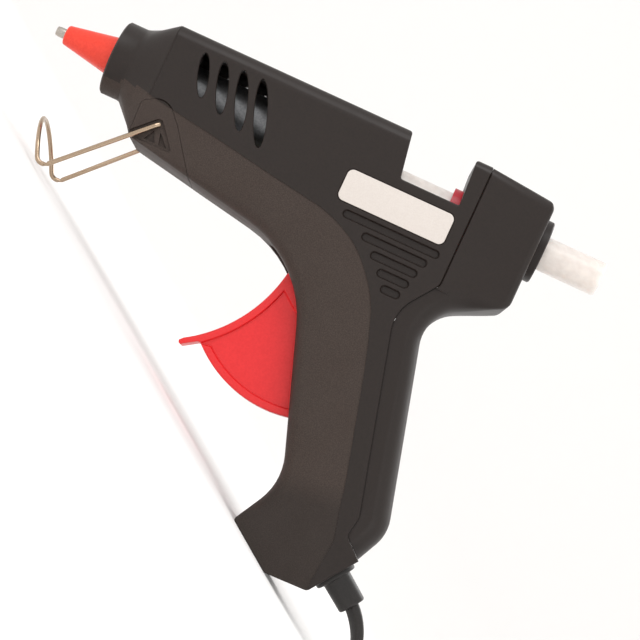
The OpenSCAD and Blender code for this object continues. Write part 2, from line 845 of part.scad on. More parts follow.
// Finger face: an arc between the grip's root and the lip
face_a = tp + [-11.1, 2.5];
face_b = tp + [-32.2, -29.4];
face_mid = lerp(face_a, face_b, 0.5)
    + sqrt(face_r ^ 2 - (norm(face_b - face_a) / 2) ^ 2) * unit([face_b.y - face_a.y, face_a.x - face_b.x]);
function face_point(t) =
    let (
        a = atan2(face_a.y - face_mid.y, face_a.x - face_mid.x),
        b = atan2(face_b.y - face_mid.y, face_b.x - face_mid.x),
        turn = (b - a + 540) % 360 - 180
    )
    face_mid + face_r * [cos(a + turn * t), sin(a + turn * t)];

arc_from = 226.5;
arc_to = 292;
function arc_point(r, t) =
    tp + r * [cos(lerp(arc_from, arc_to, t)), sin(lerp(arc_from, arc_to, t))];

module trigger_outline() {
    lip = face_b + [-1.1, -2.3];
    polygon(concat(
        [tp + [-9.4, 6.5]],
        [for (i = [0 : 10]) face_point(i / 10)],
        [lip + [0, 1.1], lip + [0.9, 0], arc_point(trigger_r, 0) + [-0.9, -0.3]],
        [for (i = [0 : 12]) arc_point(trigger_r, i / 12)],
        [tp + [6, -2], tp + [4, 4], tp + [-4, 6.5]]
    ));
}

// Sunk side panel of the trigger, inside its raised rim
module trigger_panel() {
    polygon(concat(
        [for (i = [0 : 8]) face_point(0.14 + 0.78 * i / 8) + [rim * 1.15, -rim * 0.35]],
        [for (i = [1 : 8]) arc_point(trigger_r - rim, i / 8)],
        [tp + [5, -9], tp + [-4, -7]]
    ));
}

module trigger() {
    arm_r = 3.6;
    tilt = atan(stroke / 2 / fork_l);
    color(red) place() difference() {
        union() {
            across(-trigger_w / 2, trigger_w / 2) trigger_outline();
            pin(tp, -fork_y - fork_t, fork_y + fork_t, hub_r);
            for (s = [-1, 1]) translate([tp.x, 0, tp.y]) rotate([0, tilt, 0]) {
                y0 = s > 0 ? fork_y : -fork_y - fork_t;
                block([-arm_r, y0, 0], [arm_r, y0 + fork_t, fork_l + 0.9]);
                pin([0, fork_l + 0.9], y0, y0 + fork_t, arm_r);
            }
        }
        for (s = [-1, 1]) {
            across(s > 0 ? trigger_w / 2 - 1 : -trigger_w / 2 - 1,
                   s > 0 ? trigger_w / 2 + 1 : -trigger_w / 2 + 1) trigger_panel();
            translate([tp.x, 0, tp.y]) rotate([0, tilt, 0]) {
                slot_r = drive_pin_d / 2 + 0.15;
                y0 = s > 0 ? fork_y - 1 : -fork_y - fork_t - 1;
                pin([0, fork_l - 0.2], y0, y0 + fork_t + 2, slot_r);
                pin([0, fork_l + 1.1], y0, y0 + fork_t + 2, slot_r);
                block([-slot_r, y0, fork_l - 0.2], [slot_r, y0 + fork_t + 2, fork_l + 1.1]);
            }
        }
        pin(tp, -20, 20, trigger_pin_d / 2 + running);
    }
}

module trigger_pin() {
    color(steel) place() pin(tp, -inner_w - 0.6, inner_w + 0.6, trigger_pin_d / 2);
}

// ---- Fasteners and label ----

module cross_screw(p, y_head, l, r, hr, head_l) {
    difference() {
        union() {
            pin(p, y_head - l, y_head, r);
            pin(p, y_head - eps, y_head + head_l, hr);
        }
        for (a = [0, 90]) translate([p.x, 0, p.y]) rotate([0, a, 0])
            block([-hr * 0.6, y_head + head_l - 0.9, -hr * 0.14], [hr * 0.6, y_head + head_l + 1, hr * 0.14]);
    }
}

module housing_screws() {
    color(steel) place() for (b = bosses)
        cross_screw(b, half_w - head_sink, half_w - head_sink + 7.5, screw_r, head_r, 2);
}

module cord_clamp() {
    color(black) place() difference() {
        translate([clamp_at.x, cord_w / 2 + seat, clamp_at.y]) rotate([0, nose_down, 0])
            block([-3, 0, -8], [3, clamp_t, 8]);
        for (h = clamp_holes) pin(h, 0, 8, 1.4);
    }
}

module clamp_screws() {
    color(steel) place() for (h = clamp_holes)
        cross_screw(h, cord_w / 2 + seat + clamp_t + 2 * eps, 9.5, 1.2, 2.3, 1.6);
}

module label() {
    color(cream) place() across(-half_w - 0.2, -half_w) polygon(rounded([
        [be - 12.9, -2.9, 2], [be + 23.3, -2.9, 2], [be + 23.3, -13.2, 2], [be - 12.9, -13.2, 2]
    ]));
}

// ---- Lead ----

boot_neck_r = 3.8;

module at_gland() {
    translate([gland_row.x, 0, gland_row.y]) rotate([0, 90, 0]) children();
}

module cord_boot() {
    color(black) at_gland() difference() {
        union() {
            translate([0, 0, -5]) cylinder(h = 6, r = boot_neck_r);
            translate([0, 0, -wall - 2.4]) cylinder(h = 2, r = boot_neck_r + 1.2);
            translate([0, 0, seat]) cylinder(h = 1.9, r = 6.8);
            translate([0, 0, 1.9]) cylinder(h = boot_l - 1, r = boot_d / 2);
            translate([0, 0, boot_l + 0.9 - eps]) cylinder(h = 1, r1 = boot_d / 2, r2 = boot_d / 2 - 1);
        }
        translate([0, 0, -6]) cylinder(h = boot_l + 9, r = cord_w / 2 + seat);
    }
}

// Free stretch: level out of the handle, down to the surface and on to the coil
lay_z = cord_t / 2 + 0.1;
tube_route = [
    [gland_row.x - 15, 0, gland_row.y],
    [gland_row.x + 16.5, 0, gland_row.y],
    [60, -1, lay_z],
    [81, coil_in.y, lay_z],
    [coil_in.x, coil_in.y, lay_z]
];

module cord_tube() {
    color(black) rod(smooth_route(tube_route, 23, 6), cord_w / 2, 10, r2 = cord_t / 2);
}

module cord_coil() {
    color(black) translate([coil_mid.x, coil_mid.y, coil_low]) rotate_extrude($fn = 96)
        translate([coil_r - coil_w / 2, 0]) square([coil_w, coil_h]);
}

module cord_tie() {
    t = 0.4;
    color([0.12, 0.12, 0.12]) translate([coil_mid.x + coil_r, coil_mid.y, coil_low])
        difference() {
            block([-coil_w / 2 - t - 0.3, -2.5, -t], [coil_w / 2 + t + 0.3, 2.5, coil_h + t + 0.05]);
            block([-coil_w / 2 - 0.3, -3, -0.05], [coil_w / 2 + 0.3, 3, coil_h + 0.05]);
        }
}

// The plug lies flat on the coil, its lead coming round on top of the turns
plug_w = 33;
plug_t = 13.7;
plug_l = 26;
plug_neck_l = 9;
pin_pitch = 19;
coil_top = coil_low + coil_h + 0.1;
plug_z = coil_top + plug_t / 2;
// The lead comes up over the turns and round in a smaller bend to the plug
over_from = 280;
over_to = 330;
over_r = 18;
over_mid = coil_mid + (coil_r - over_r) * [cos(over_to), sin(over_to)];
plug_rear = over_mid + [0, over_r];
over_z = coil_top + cord_t / 2;
lead_route = concat(
    [for (a = [over_from : 12.5 : over_to]) [coil_mid.x + coil_r * cos(a), coil_mid.y + coil_r * sin(a), over_z]],
    [for (a = [over_to + 15 : 15 : 450]) let (t = (a - over_to) / (450 - over_to))
        [over_mid.x + over_r * cos(a), over_mid.y + over_r * sin(a), lerp(over_z, plug_z, t * t * (3 - 2 * t))]],
    [[plug_rear.x - 2, plug_rear.y, plug_z]]
);

// Turns the plug to point back along the lead
module at_plug() {
    translate(plug_rear) rotate(180) translate(-plug_rear) children();
}

module plug_lead() {
    color(black) rod(lead_route, cord_w / 2, 10, r2 = cord_t / 2);
}

module plug_body() {
    neck = plug_rear.x;
    shoulder = neck + plug_neck_l;
    color(black) at_plug() difference() {
        union() {
            translate([neck, plug_rear.y, plug_z]) rotate([0, 90, 0])
                cylinder(h = plug_neck_l + 2, r1 = 4.2, r2 = 5.6);
            intersection() {
                translate([0, 0, coil_top]) linear_extrude(plug_t) translate([0, plug_rear.y])
                    polygon(rounded([
                        [shoulder, 6, 2], [shoulder + 8, plug_w / 2, 4],
                        [shoulder + plug_l, plug_w / 2, 1.5], [shoulder + plug_l, -plug_w / 2, 1.5],
                        [shoulder + 8, -plug_w / 2, 4], [shoulder, -6, 2]
                    ]));
                translate([shoulder - 1, plug_rear.y, plug_z]) rotate([90, 0, 90])
                    linear_extrude(plug_l + 2) polygon(rounded([
                        [-plug_w / 2, 0, 1], [-plug_w / 2 + 6, plug_t / 2, 2],
                        [plug_w / 2 - 6, plug_t / 2, 2], [plug_w / 2, 0, 1],
                        [plug_w / 2 - 6, -plug_t / 2, 2], [-plug_w / 2 + 6, -plug_t / 2, 2]
                    ]));
            }
        }
        translate([neck - 1, plug_rear.y, plug_z]) rotate([0, 90, 0])
            cylinder(h = 3.2, r = cord_w / 2 + seat);
    }
}

module plug_pins() {
    color(steel) at_plug() for (s = [-1, 1])
        translate([plug_rear.x + plug_neck_l + plug_l, plug_rear.y + s * pin_pitch / 2, plug_z])
            rotate([0, 90, 0]) cylinder(h = 19, r = 2);
}

left_housing();
right_housing();
rear_housing();
stand_block();
wire_stand();
nozzle();
nozzle_sleeve();
nozzle_ball();
nozzle_spring();
melt_chamber();
ptc_heater();
upper_electrode();
lower_electrode();
heater_film();
heater_wedge();
inlet_sleeve();
inlet_clamp();
crimp_connectors();
live_wire();
neutral_wire();
heat_sleeves();
feed_carriage();
grip_lever();
grip_pin();
return_spring();
glue_stick();
trigger();
trigger_pin();
housing_screws();
cord_clamp();
clamp_screws();
label();
cord_boot();
cord_tube();
cord_coil();
cord_tie();
plug_lead();
plug_body();
plug_pins();
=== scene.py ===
"""A hot glue gun stood nose down on its wire stand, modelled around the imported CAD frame.

Most pieces are made in the gun frame, in millimetres: u runs back along the barrel from the
collar's front face, y is the gun's right side and v is up from the barrel axis. GUN turns
that frame nose down and into metres, where the handle's foot stands on z = 0.
"""
import bmesh
import bpy
from math import acos, atan2, ceil, cos, degrees, pi, radians, sin, sqrt, tan
from mathutils import Matrix, Vector


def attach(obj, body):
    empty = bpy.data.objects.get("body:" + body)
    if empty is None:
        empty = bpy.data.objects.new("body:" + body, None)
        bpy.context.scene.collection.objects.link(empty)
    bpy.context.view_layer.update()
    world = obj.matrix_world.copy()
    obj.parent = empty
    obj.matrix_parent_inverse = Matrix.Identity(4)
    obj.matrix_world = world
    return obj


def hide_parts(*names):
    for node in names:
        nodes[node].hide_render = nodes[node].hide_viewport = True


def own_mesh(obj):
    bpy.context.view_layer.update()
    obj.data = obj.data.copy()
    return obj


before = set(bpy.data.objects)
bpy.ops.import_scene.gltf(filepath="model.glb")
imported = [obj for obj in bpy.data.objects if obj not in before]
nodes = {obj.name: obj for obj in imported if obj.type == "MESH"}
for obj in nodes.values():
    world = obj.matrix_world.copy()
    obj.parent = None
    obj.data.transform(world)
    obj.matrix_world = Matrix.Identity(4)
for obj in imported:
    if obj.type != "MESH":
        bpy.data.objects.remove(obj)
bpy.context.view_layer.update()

# ---- Sizes, in millimetres, as in the part's source ----

NOSE_DOWN = radians(35.5)
BARREL_END = 96.5
BLOCK_FRONT = BARREL_END + 22
SEAM = BLOCK_FRONT + 5.8
BLOCK_REAR = BLOCK_FRONT + 28.4
RING_REAR = BLOCK_REAR + 2.8
HALF_W = 16.5
WALL = 2.2
COLLAR_R = 12.3
COLLAR_L = 6.5
FLARE_END = 17
TOP = 16.3
SILL = 0.6
STICK_R = 5.6
FOOT_MID = (BARREL_END + 9.5 * cos(NOSE_DOWN), -117 - 9.5 * sin(NOSE_DOWN))
GLAND = (BARREL_END + 35.5, -119.7)
TRIGGER_PIN = (BARREL_END - 6.1, -43)
STAND_PIVOT = (23.6, -15.9)
STAND_RECESS = 1
PROUD = 0.5

GUN = (
    Matrix.Scale(0.001, 4)
    @ Matrix.Rotation(-NOSE_DOWN, 4, "Y")
    @ Matrix.Translation((-FOOT_MID[0], 0, -FOOT_MID[1]))
)
ROW = Matrix.Scale(0.001, 4)


def eased(t):
    """A share from 0 to 1 that starts and ends slowly."""
    return t * t * (3 - 2 * t)


def smooth_between(x, a, b):
    """How far x has come from a to b, eased and held at 0 and 1 outside them."""
    return eased(max(0.0, min(1.0, (x - a) / (b - a))))


# ---- Materials ----

# How many lumps across a rubbed patch is, and how far its roughness strays
PATCHES, RUBBED = 40, 0.06


def srgb(code):
    """A linear colour with alpha from an sRGB hex value."""
    parts = [int(code[i : i + 2], 16) / 255 for i in (1, 3, 5)]
    return [c / 12.92 if c <= 0.04045 else ((c + 0.055) / 1.055) ** 2.4 for c in parts] + [1]


def add(tree, kind, links=None, values=None, **settings):
    """Adds a node with its settings, socket values and links from (node, output) pairs."""
    made = tree.nodes.new(kind)
    for name, value in settings.items():
        setattr(made, name, value)
    for name, value in (values or {}).items():
        made.inputs[name].default_value = value
    for name, (source, output) in (links or {}).items():
        tree.links.new(source.outputs[output], made.inputs[name])
    return made


def new_material(name):
    """An empty node material and its tree."""
    made = bpy.data.materials.new(name)
    made.use_nodes = True
    made.node_tree.nodes.clear()
    return made, made.node_tree


def grain(tree, size, detail=2.0):
    """Noise on Object coordinates whose lumps are size millimetres across."""
    where = add(tree, "ShaderNodeTexCoord")
    return add(
        tree, "ShaderNodeTexNoise", {"Vector": (where, "Object")},
        {"Scale": 1000 / size, "Detail": detail, "Roughness": 0.55},
    )


def ramp(tree, source, stops, output="Fac"):
    """A colour ramp over source, with stops of (place, colour)."""
    made = add(tree, "ShaderNodeValToRGB", {"Fac": (source, output)})
    band = made.color_ramp
    while len(band.elements) < len(stops):
        band.elements.new(0.5)
    for element, (place, colour) in zip(band.elements, stops):
        element.position, element.color = place, colour
    return made


def grey(value):
    """A colour stop for a plain number."""
    return [value, value, value, 1]


def surface(name, low, high, rough, size, depth, metallic=0.0, values=None, contrast=(0.35, 0.65)):
    """A moulded, cast or drawn surface: lumps of size mm and depth mm, whose colour runs from
    low to high, and broader patches where handling has changed the roughness."""
    made, tree = new_material(name)
    lumps = grain(tree, size)
    broad = grain(tree, size * PATCHES, 3.0)
    colour = ramp(tree, lumps, [(contrast[0], srgb(low)), (contrast[1], srgb(high))])
    rub = ramp(tree, broad, [(0.3, grey(rough - RUBBED)), (0.7, grey(rough + RUBBED))])
    relief = add(
        tree, "ShaderNodeBump", {"Height": (lumps, "Fac")},
        {"Strength": 1.0, "Distance": depth * 0.001},
    )
    shader = add(
        tree, "ShaderNodeBsdfPrincipled",
        {"Base Color": (colour, "Color"), "Roughness": (rub, "Color"), "Normal": (relief, "Normal")},
        {"Metallic": metallic, **(values or {})},
    )
    add(tree, "ShaderNodeOutputMaterial", {"Surface": (shader, "BSDF")})
    return made


# ABS from a polished mould: a soft sheen with only a trace of flow marks
satin_abs = surface(
    "satin_abs", "#1f1713", "#231a16", 0.44, 0.6, 0.003, values={"Specular IOR Level": 0.34}
)
# The same ABS from a spark-eroded mould: fine pits that catch the light one by one
grained_abs = surface(
    "grained_abs", "#2f251f", "#433731", 0.60, 0.30, 0.020, values={"Specular IOR Level": 0.34},
    contrast=(0.36, 0.70),
)


def paint_shade_along(finish, direction, start, end, share):
    """Paints shade into a finish: darkens its colour along a direction in the row frame, from start to
    end in millimetres.
    """
    tree = finish.node_tree
    shader = next(n for n in tree.nodes if n.type == "BSDF_PRINCIPLED")
    colour = shader.inputs["Base Color"].links[0].from_node
    where = add(tree, "ShaderNodeTexCoord")
    along = add(
        tree, "ShaderNodeVectorMath", {0: (where, "Object")}, {1: direction}, operation="DOT_PRODUCT"
    )
    reach = add(
        tree, "ShaderNodeMapRange", {"Value": (along, "Value")},
        {"From Min": start * 0.001, "From Max": end * 0.001, "To Min": 1.0, "To Max": share},
    )
    painted_shade = add(
        tree, "ShaderNodeVectorMath", {0: (colour, "Color"), "Scale": (reach, "Result")},
        operation="SCALE",
    )
    tree.links.new(painted_shade.outputs["Vector"], shader.inputs["Base Color"])


# Painted shade: the grain's colour is darkened towards the foot, which lies down and back from the barrel
FOOT_WAY = (0.680, 0, -0.733)
FOOT_FROM, FOOT_TO, FOOT_SHARE = -26, -18, 0.62
paint_shade_along(grained_abs, FOOT_WAY, FOOT_FROM, FOOT_TO, FOOT_SHARE)


def waxy(weight, depth):
    """Values for a stuff that light goes into, to a depth in metres for each colour."""
    return {"Subsurface Weight": weight, "Subsurface Radius": depth, "Subsurface Scale": 1.0}


# Silicone rubber, slightly see-through at its edges
red_silicone = surface(
    "red_silicone", "#e5351f", "#ec3f27", 0.30, 0.8, 0.003,
    values=waxy(0.15, (0.003, 0.0006, 0.0004)),
)
# Unfilled red ABS, with light going a little way into it
red_abs = surface(
    "red_abs", "#dd1c20", "#e32427", 0.36, 0.7, 0.003,
    values=waxy(0.12, (0.003, 0.0004, 0.0004)),
)
# Acetal of the feed carriage, a deeper and bluer red
carriage_acetal = surface("carriage_acetal", "#bf1027", "#c9162e", 0.32, 0.6, 0.003)
# Drawn wire under bright nickel, which reflects warm and is hardly streaked
nickel_wire = surface("nickel_wire", "#a8927c", "#bda78f", 0.22, 0.25, 0.002, metallic=1.0)
# Turned free-cutting steel, dulled by heat
turned_steel = surface("turned_steel", "#a39c94", "#beb7ae", 0.26, 0.2, 0.002, metallic=1.0)
# Zinc plate on pressed and drawn steel
zinc_steel = surface("zinc_steel", "#9d9fa2", "#b4b6b9", 0.32, 0.4, 0.003, metallic=1.0)
# Die-cast aluminium, greyish and matt
cast_aluminium = surface("cast_aluminium", "#8f9092", "#a3a4a6", 0.50, 0.7, 0.02, metallic=1.0)
# Fired ceramic, matt with dark specks
fired_ceramic = surface("fired_ceramic", "#6c6862", "#8a857e", 0.70, 0.5, 0.01)
# Rolled brass strip
contact_brass = surface("contact_brass", "#b89a55", "#c8ab66", 0.28, 0.3, 0.002, metallic=1.0)
# Amber polyimide film
amber_film = surface("amber_film", "#a8641a", "#b87324", 0.20, 1.2, 0.003)
# Hot-melt stick: a milky wax that light passes into
hot_melt = surface(
    "hot_melt", "#ddd5cf", "#e6dfd9", 0.32, 2.5, 0.008,
    values=waxy(1.0, (0.005, 0.0047, 0.0045)),
)
# Polypropylene label film with a satin face
label_film = surface("label_film", "#d3cac3", "#d8d0c9", 0.38, 0.4, 0.001)
# Flexible PVC, as on leads and boots
soft_pvc = surface(
    "soft_pvc", "#1d1a18", "#25211f", 0.38, 0.6, 0.004, values={"Specular IOR Level": 0.4}
)
# Nickel-plated brass pins
plated_brass = surface("plated_brass", "#b7ad98", "#c9c0ac", 0.22, 0.3, 0.002, metallic=1.0)
# Rigid PVC insulation of the two cores
brown_pvc = surface("brown_pvc", "#5a3522", "#653d28", 0.40, 0.5, 0.004)
blue_pvc = surface("blue_pvc", "#2a4a9a", "#3355a8", 0.40, 0.5, 0.004)
# Glass-fibre sleeve, matt and pale, its threads half a millimetre across
glass_weave = surface("glass_weave", "#cfc9bb", "#ebe6da", 0.75, 0.5, 0.08)

# ---- Mesh tools ----


def unit(a, b):
    """Unit vector from a to b in the u, v plane."""
    length = sqrt((b[0] - a[0]) ** 2 + (b[1] - a[1]) ** 2)
    return (b[0] - a[0]) / length, (b[1] - a[1]) / length


def rounded(corners, step=2.5):
    """Points [u, v, edge] of an outline from corners (u, v, corner radius, edge radius)."""
    arcs = []
    n = len(corners)
    for i, (u, v, r, edge) in enumerate(corners):
        if r <= 0:
            arcs.append([(u, v, edge)])
            continue
        da, dc = unit((u, v), corners[i - 1]), unit((u, v), corners[(i + 1) % n])
        half = acos(max(-1, min(1, da[0] * dc[0] + da[1] * dc[1]))) / 2
        mid_u, mid_v = da[0] + dc[0], da[1] + dc[1]
        scale = r / sin(half) / sqrt(mid_u**2 + mid_v**2)
        mid_u, mid_v = u + mid_u * scale, v + mid_v * scale
        cut = r / tan(half)
        turn = (pi - 2 * half) * (1 if -da[0] * dc[1] + da[1] * dc[0] > 0 else -1)
        steps = max(2, ceil(abs(degrees(turn)) / 7))
        start = atan2(v + da[1] * cut - mid_v, u + da[0] * cut - mid_u)
        around = [start + turn * k / steps for k in range(steps + 1)]
        arcs.append([(mid_u + r * cos(a), mid_v + r * sin(a), edge) for a in around])
    points = []
    for i, arc in enumerate(arcs):
        points += arc
        a, b = arc[-1], arcs[(i + 1) % n][0]
        length = sqrt((b[0] - a[0]) ** 2 + (b[1] - a[1]) ** 2)
        steps = ceil(length / step)
        for k in range(1, steps):
            t = k / steps
            edge = a[2] + (b[2] - a[2]) * eased(t)
            points.append((a[0] + (b[0] - a[0]) * t, a[1] + (b[1] - a[1]) * t, edge))
    return points


def inset(points, by):
    """The outline moved in by a length, or by each point's own if by is a function of the point."""
    area = sum(a[0] * b[1] - b[0] * a[1] for a, b in zip(points, points[1:] + points[:1]))
    side = 1 if area > 0 else -1
    moved = []
    for i, p in enumerate(points):
        d1, d2 = unit(points[i - 1], p), unit(p, points[(i + 1) % len(points)])
        n1, n2 = (-d1[1] * side, d1[0] * side), (-d2[1] * side, d2[0] * side)
        w = (by(p) if callable(by) else by) / max(0.3, 1 + n1[0] * n2[0] + n1[1] * n2[1])
        moved.append((p[0] + w * (n1[0] + n2[0]), p[1] + w * (n1[1] + n2[1]), p[2]))
    return moved


def skin(rings, closed=False):
    """A bmesh through rings of points, with a face over each end unless closed."""
    bm = bmesh.new()
    made = [[bm.verts.new(p) for p in ring] for ring in rings]
    pairs = list(zip(made, made[1:])) + ([(made[-1], made[0])] if closed else [])
    n = len(made[0])
    for a, b in pairs:
        for i in range(n):
            bm.faces.new((a[i], a[(i + 1) % n], b[(i + 1) % n], b[i]))
    if not closed:
        bm.faces.new(reversed(made[0]))
        bm.faces.new(made[-1])
    bmesh.ops.recalc_face_normals(bm, faces=bm.faces)
    return bm


def slab(points, half_w, steps=6):
    """A body from an outline, rounded to each point's edge radius towards both sides."""
    rings = []
    for side in (-1, 1):
        angles = [pi / 2 * k / steps for k in range(steps + 1)]
        for a in reversed(angles) if side < 0 else angles:
            ring = inset(points, lambda p: p[2] * (1 - cos(a)))
            rings.append([
                (q[0], side * (half_w - p[2] * (1 - sin(a))), q[1]) for p, q in zip(points, ring)
            ])
    return skin(rings)


def prism(points, y0, y1, bevel=0.0):
    """An extrusion of an outline across the gun. A bevel widens both ends, or narrows them if it
    is negative, from that depth below the side faces; y0 and y1 then lie PROUD outside these."""
    stops = [(y0, 0), (y1, 0)]
    if bevel:
        out = abs(bevel) + PROUD
        widen = out * bevel / abs(bevel)
        stops = [(y0, widen), (y0 + out, 0), (y1 - out, 0), (y1, widen)]
    rings = []
    for y, grow in stops:
        ring = inset([(*p[:2], 0) for p in points], -grow) if grow else points
        rings.append([(q[0], y, q[1]) for q in ring])
    return skin(rings)


def lathe(profile, sides=64, y=0.0, v=0.0, hollow=False):
    """A closed shape turned about a line along u, from points (u, radius) that run along its
    outside, and back along its bore if it is hollow."""
    around = [2 * pi * k / sides for k in range(sides)]
    rings = [[(u, y + r * sin(a), v + r * cos(a)) for a in around] for u, r in profile]
    return skin(rings, closed=hollow)


def arc(u, r, size, start, end, steps=5):
    """Points (u, radius) of a rounded edge for a lathe, about its own middle, in degrees."""
    return [
        (u + size * cos(radians(a)), r + size * sin(radians(a)))
        for a in (start + (end - start) * k / steps for k in range(steps + 1))
    ]


def thing(name, bm):
    """A scene object from a bmesh."""
    mesh = bpy.data.meshes.new(name)
    bm.to_mesh(mesh)
    bm.free()
    made = bpy.data.objects.new(name, mesh)
    bpy.context.scene.collection.objects.link(made)
    return made


def modified(obj):
    """What an object's modifiers make of it, as a new mesh; the modifiers are removed."""
    bpy.context.view_layer.update()
    seen = obj.evaluated_get(bpy.context.evaluated_depsgraph_get())
    made = bpy.data.meshes.new_from_object(seen)
    obj.modifiers.clear()
    return made


def settle(obj):
    """Applies an object's modifiers."""
    made = modified(obj)
    old, obj.data = obj.data, made
    bpy.data.meshes.remove(old)


def carve(obj, bm, operation="DIFFERENCE"):
    """Cuts, joins or keeps the common part of an object and a shape."""
    tool = thing("tool", bm)
    step = obj.modifiers.new("step", "BOOLEAN")
    step.object, step.operation, step.solver = tool, operation, "EXACT"
    settle(obj)
    bpy.data.objects.remove(tool)


def taken(obj):
    """The object's mesh as a bmesh; the object itself is removed."""
    bm = bmesh.new()
    bm.from_mesh(obj.data)
    bpy.data.objects.remove(obj)
    return bm


def copy_of(obj, name):
    """A second object with its own copy of the mesh."""
    made = obj.copy()
    made.data = obj.data.copy()
    made.name = name
    bpy.context.scene.collection.objects.link(made)
    return made


def finish_piece(obj, body, materials, place=GUN, replaces=(), sharp=32):
    """Puts a made piece in the row frame, shades it, and says what it stands for."""
    obj.data.transform(place)
    for one in materials:
        obj.data.materials.append(one)
    obj.data.shade_smooth()
    obj.data.set_sharp_from_angle(angle=radians(sharp))
    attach(obj, body)
    if replaces:
        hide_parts(*replaces)
    return obj


def from_side(points):
    """An outline with square edges from points (u, v)."""
    return [(u, v, 0) for u, v in points]


def circle(centre, r, sides=32):
    """Outline of a circle in the u, v plane."""
    return [
        (centre[0] + r * cos(2 * pi * k / sides), centre[1] + r * sin(2 * pi * k / sides), 0)
        for k in range(sides)
    ]


def capsule(a, b, wide, narrow=None, steps=10):
    """Outline of a slot between two centres in the u, v plane, wide at a and narrow at b."""
    narrow = narrow or wide
    heading = atan2(b[1] - a[1], b[0] - a[0])
    points = []
    for centre, r, start in ((a, wide, heading + pi / 2), (b, narrow, heading - pi / 2)):
        for k in range(steps + 1):
            t = start + pi * k / steps
            points.append((centre[0] + r * cos(t), centre[1] + r * sin(t), 0))
    return points


def joined(shapes):
    """Several bmeshes as one."""
    whole = bmesh.new()
    for bm in shapes:
        part = bpy.data.meshes.new("part")
        bm.to_mesh(part)
        bm.free()
        whole.from_mesh(part)
        bpy.data.meshes.remove(part)
    return whole


def geometry_tree(name, sizes):
    """A geometry tree with named inputs (name, socket kind), and its two ends."""
    tree = bpy.data.node_groups.new(name, "GeometryNodeTree")
    tree.interface.new_socket("Geometry", in_out="INPUT", socket_type="NodeSocketGeometry")
    for label, kind in sizes:
        tree.interface.new_socket(label, in_out="INPUT", socket_type=kind)
    tree.interface.new_socket("Geometry", in_out="OUTPUT", socket_type="NodeSocketGeometry")
    return tree, add(tree, "NodeGroupInput")


def end_tree(tree, source, output):
    """Makes a tree's instances real, gives them its Material input and ends it."""
    start = next(n for n in tree.nodes if n.type == "GROUP_INPUT")
    real = add(tree, "GeometryNodeRealizeInstances", {"Geometry": (source, output)})
    dressed = add(
        tree, "GeometryNodeSetMaterial",
        {"Geometry": (real, "Geometry"), "Material": (start, "Material")},
    )
    add(tree, "NodeGroupOutput", {"Geometry": (dressed, "Geometry")})


def grow(obj, tree, sizes):
    """Runs a geometry tree on an object with its inputs set, and keeps the result as a mesh."""
    step = obj.modifiers.new("grow", "NODES")
    step.node_group = tree
    for item in tree.interface.items_tree:
        if item.in_out == "INPUT" and item.name in sizes:
            step[item.identifier] = sizes[item.name]
    name, made = obj.name, modified(obj)
    bpy.data.objects.remove(obj)
    grown = bpy.data.objects.new(name, made)
    bpy.context.scene.collection.objects.link(grown)
    return grown


def drawn_curve(name, points, closed=False):
    """A curve object through points."""
    line = bpy.data.curves.new(name, "CURVE")
    line.dimensions = "3D"
    spline = line.splines.new("POLY")
    spline.points.add(len(points) - 1)
    for slot, p in zip(spline.points, points):
        slot.co = (*p, 1)
    spline.use_cyclic_u = closed
    made = bpy.data.objects.new(name, line)
    bpy.context.scene.collection.objects.link(made)
    return made


# Round wire along a curve
wire_tree, start = geometry_tree("bent_wire", [
    ("Wire Radius", "NodeSocketFloat"), ("Sides", "NodeSocketInt"), ("Material", "NodeSocketMaterial"),
])
wire_section = add(
    wire_tree, "GeometryNodeCurvePrimitiveCircle",
    {"Radius": (start, "Wire Radius"), "Resolution": (start, "Sides")},
)
wire_body = add(
    wire_tree, "GeometryNodeCurveToMesh",
    {"Curve": (start, "Geometry"), "Profile Curve": (wire_section, "Curve")}, {"Fill Caps": True},
)
end_tree(wire_tree, wire_body, "Mesh")

# A fastener at each point of a mesh, each driven to its own angle about Y
fastener_tree, start = geometry_tree("driven_fasteners", [
    ("Fastener", "NodeSocketObject"), ("Seed", "NodeSocketInt"), ("Material", "NodeSocketMaterial"),
])
fastener = add(fastener_tree, "GeometryNodeObjectInfo", {"Object": (start, "Fastener")})
driven_to = add(
    fastener_tree, "FunctionNodeRandomValue", {"Seed": (start, "Seed")},
    {0: (0, -pi, 0), 1: (0, pi, 0)}, data_type="FLOAT_VECTOR",
)
fasteners = add(
    fastener_tree, "GeometryNodeInstanceOnPoints",
    {"Points": (start, "Geometry"), "Instance": (fastener, "Geometry"), "Rotation": (driven_to, 0)},
)
end_tree(fastener_tree, fasteners, "Instances")

# Finger ribs across a moulding: a row of bars on both of its flat faces, added to it
rib_tree, start = geometry_tree("finger_ribs", [
    ("Rib", "NodeSocketObject"), ("Rib Count", "NodeSocketInt"), ("First Rib", "NodeSocketVector"),
    ("Rib Pitch", "NodeSocketVector"), ("Material", "NodeSocketMaterial"),
])
rib = add(rib_tree, "GeometryNodeObjectInfo", {"Object": (start, "Rib")})
rib_line = add(
    rib_tree, "GeometryNodeMeshLine",
    {
        "Count": (start, "Rib Count"), "Start Location": (start, "First Rib"),
        "Offset": (start, "Rib Pitch"),
    },
)
ribs = add(
    rib_tree, "GeometryNodeInstanceOnPoints",
    {"Points": (rib_line, "Mesh"), "Instance": (rib, "Geometry")},
)
ribbed = add(rib_tree, "GeometryNodeJoinGeometry", {"Geometry": (ribs, "Instances")})
rib_tree.links.new(start.outputs["Geometry"], ribbed.inputs["Geometry"])
end_tree(rib_tree, ribbed, "Geometry")

# ---- Camera ----

CAMERA_AT = Vector((-0.0130, -0.690, 0.0282))
CAMERA_LOOKS_AT = Vector((-0.0505, 0, 0.0543))
CAMERA_UP = Vector((-0.8686, 0, 0.4954))
LENS, SENSOR = 122.5, 36

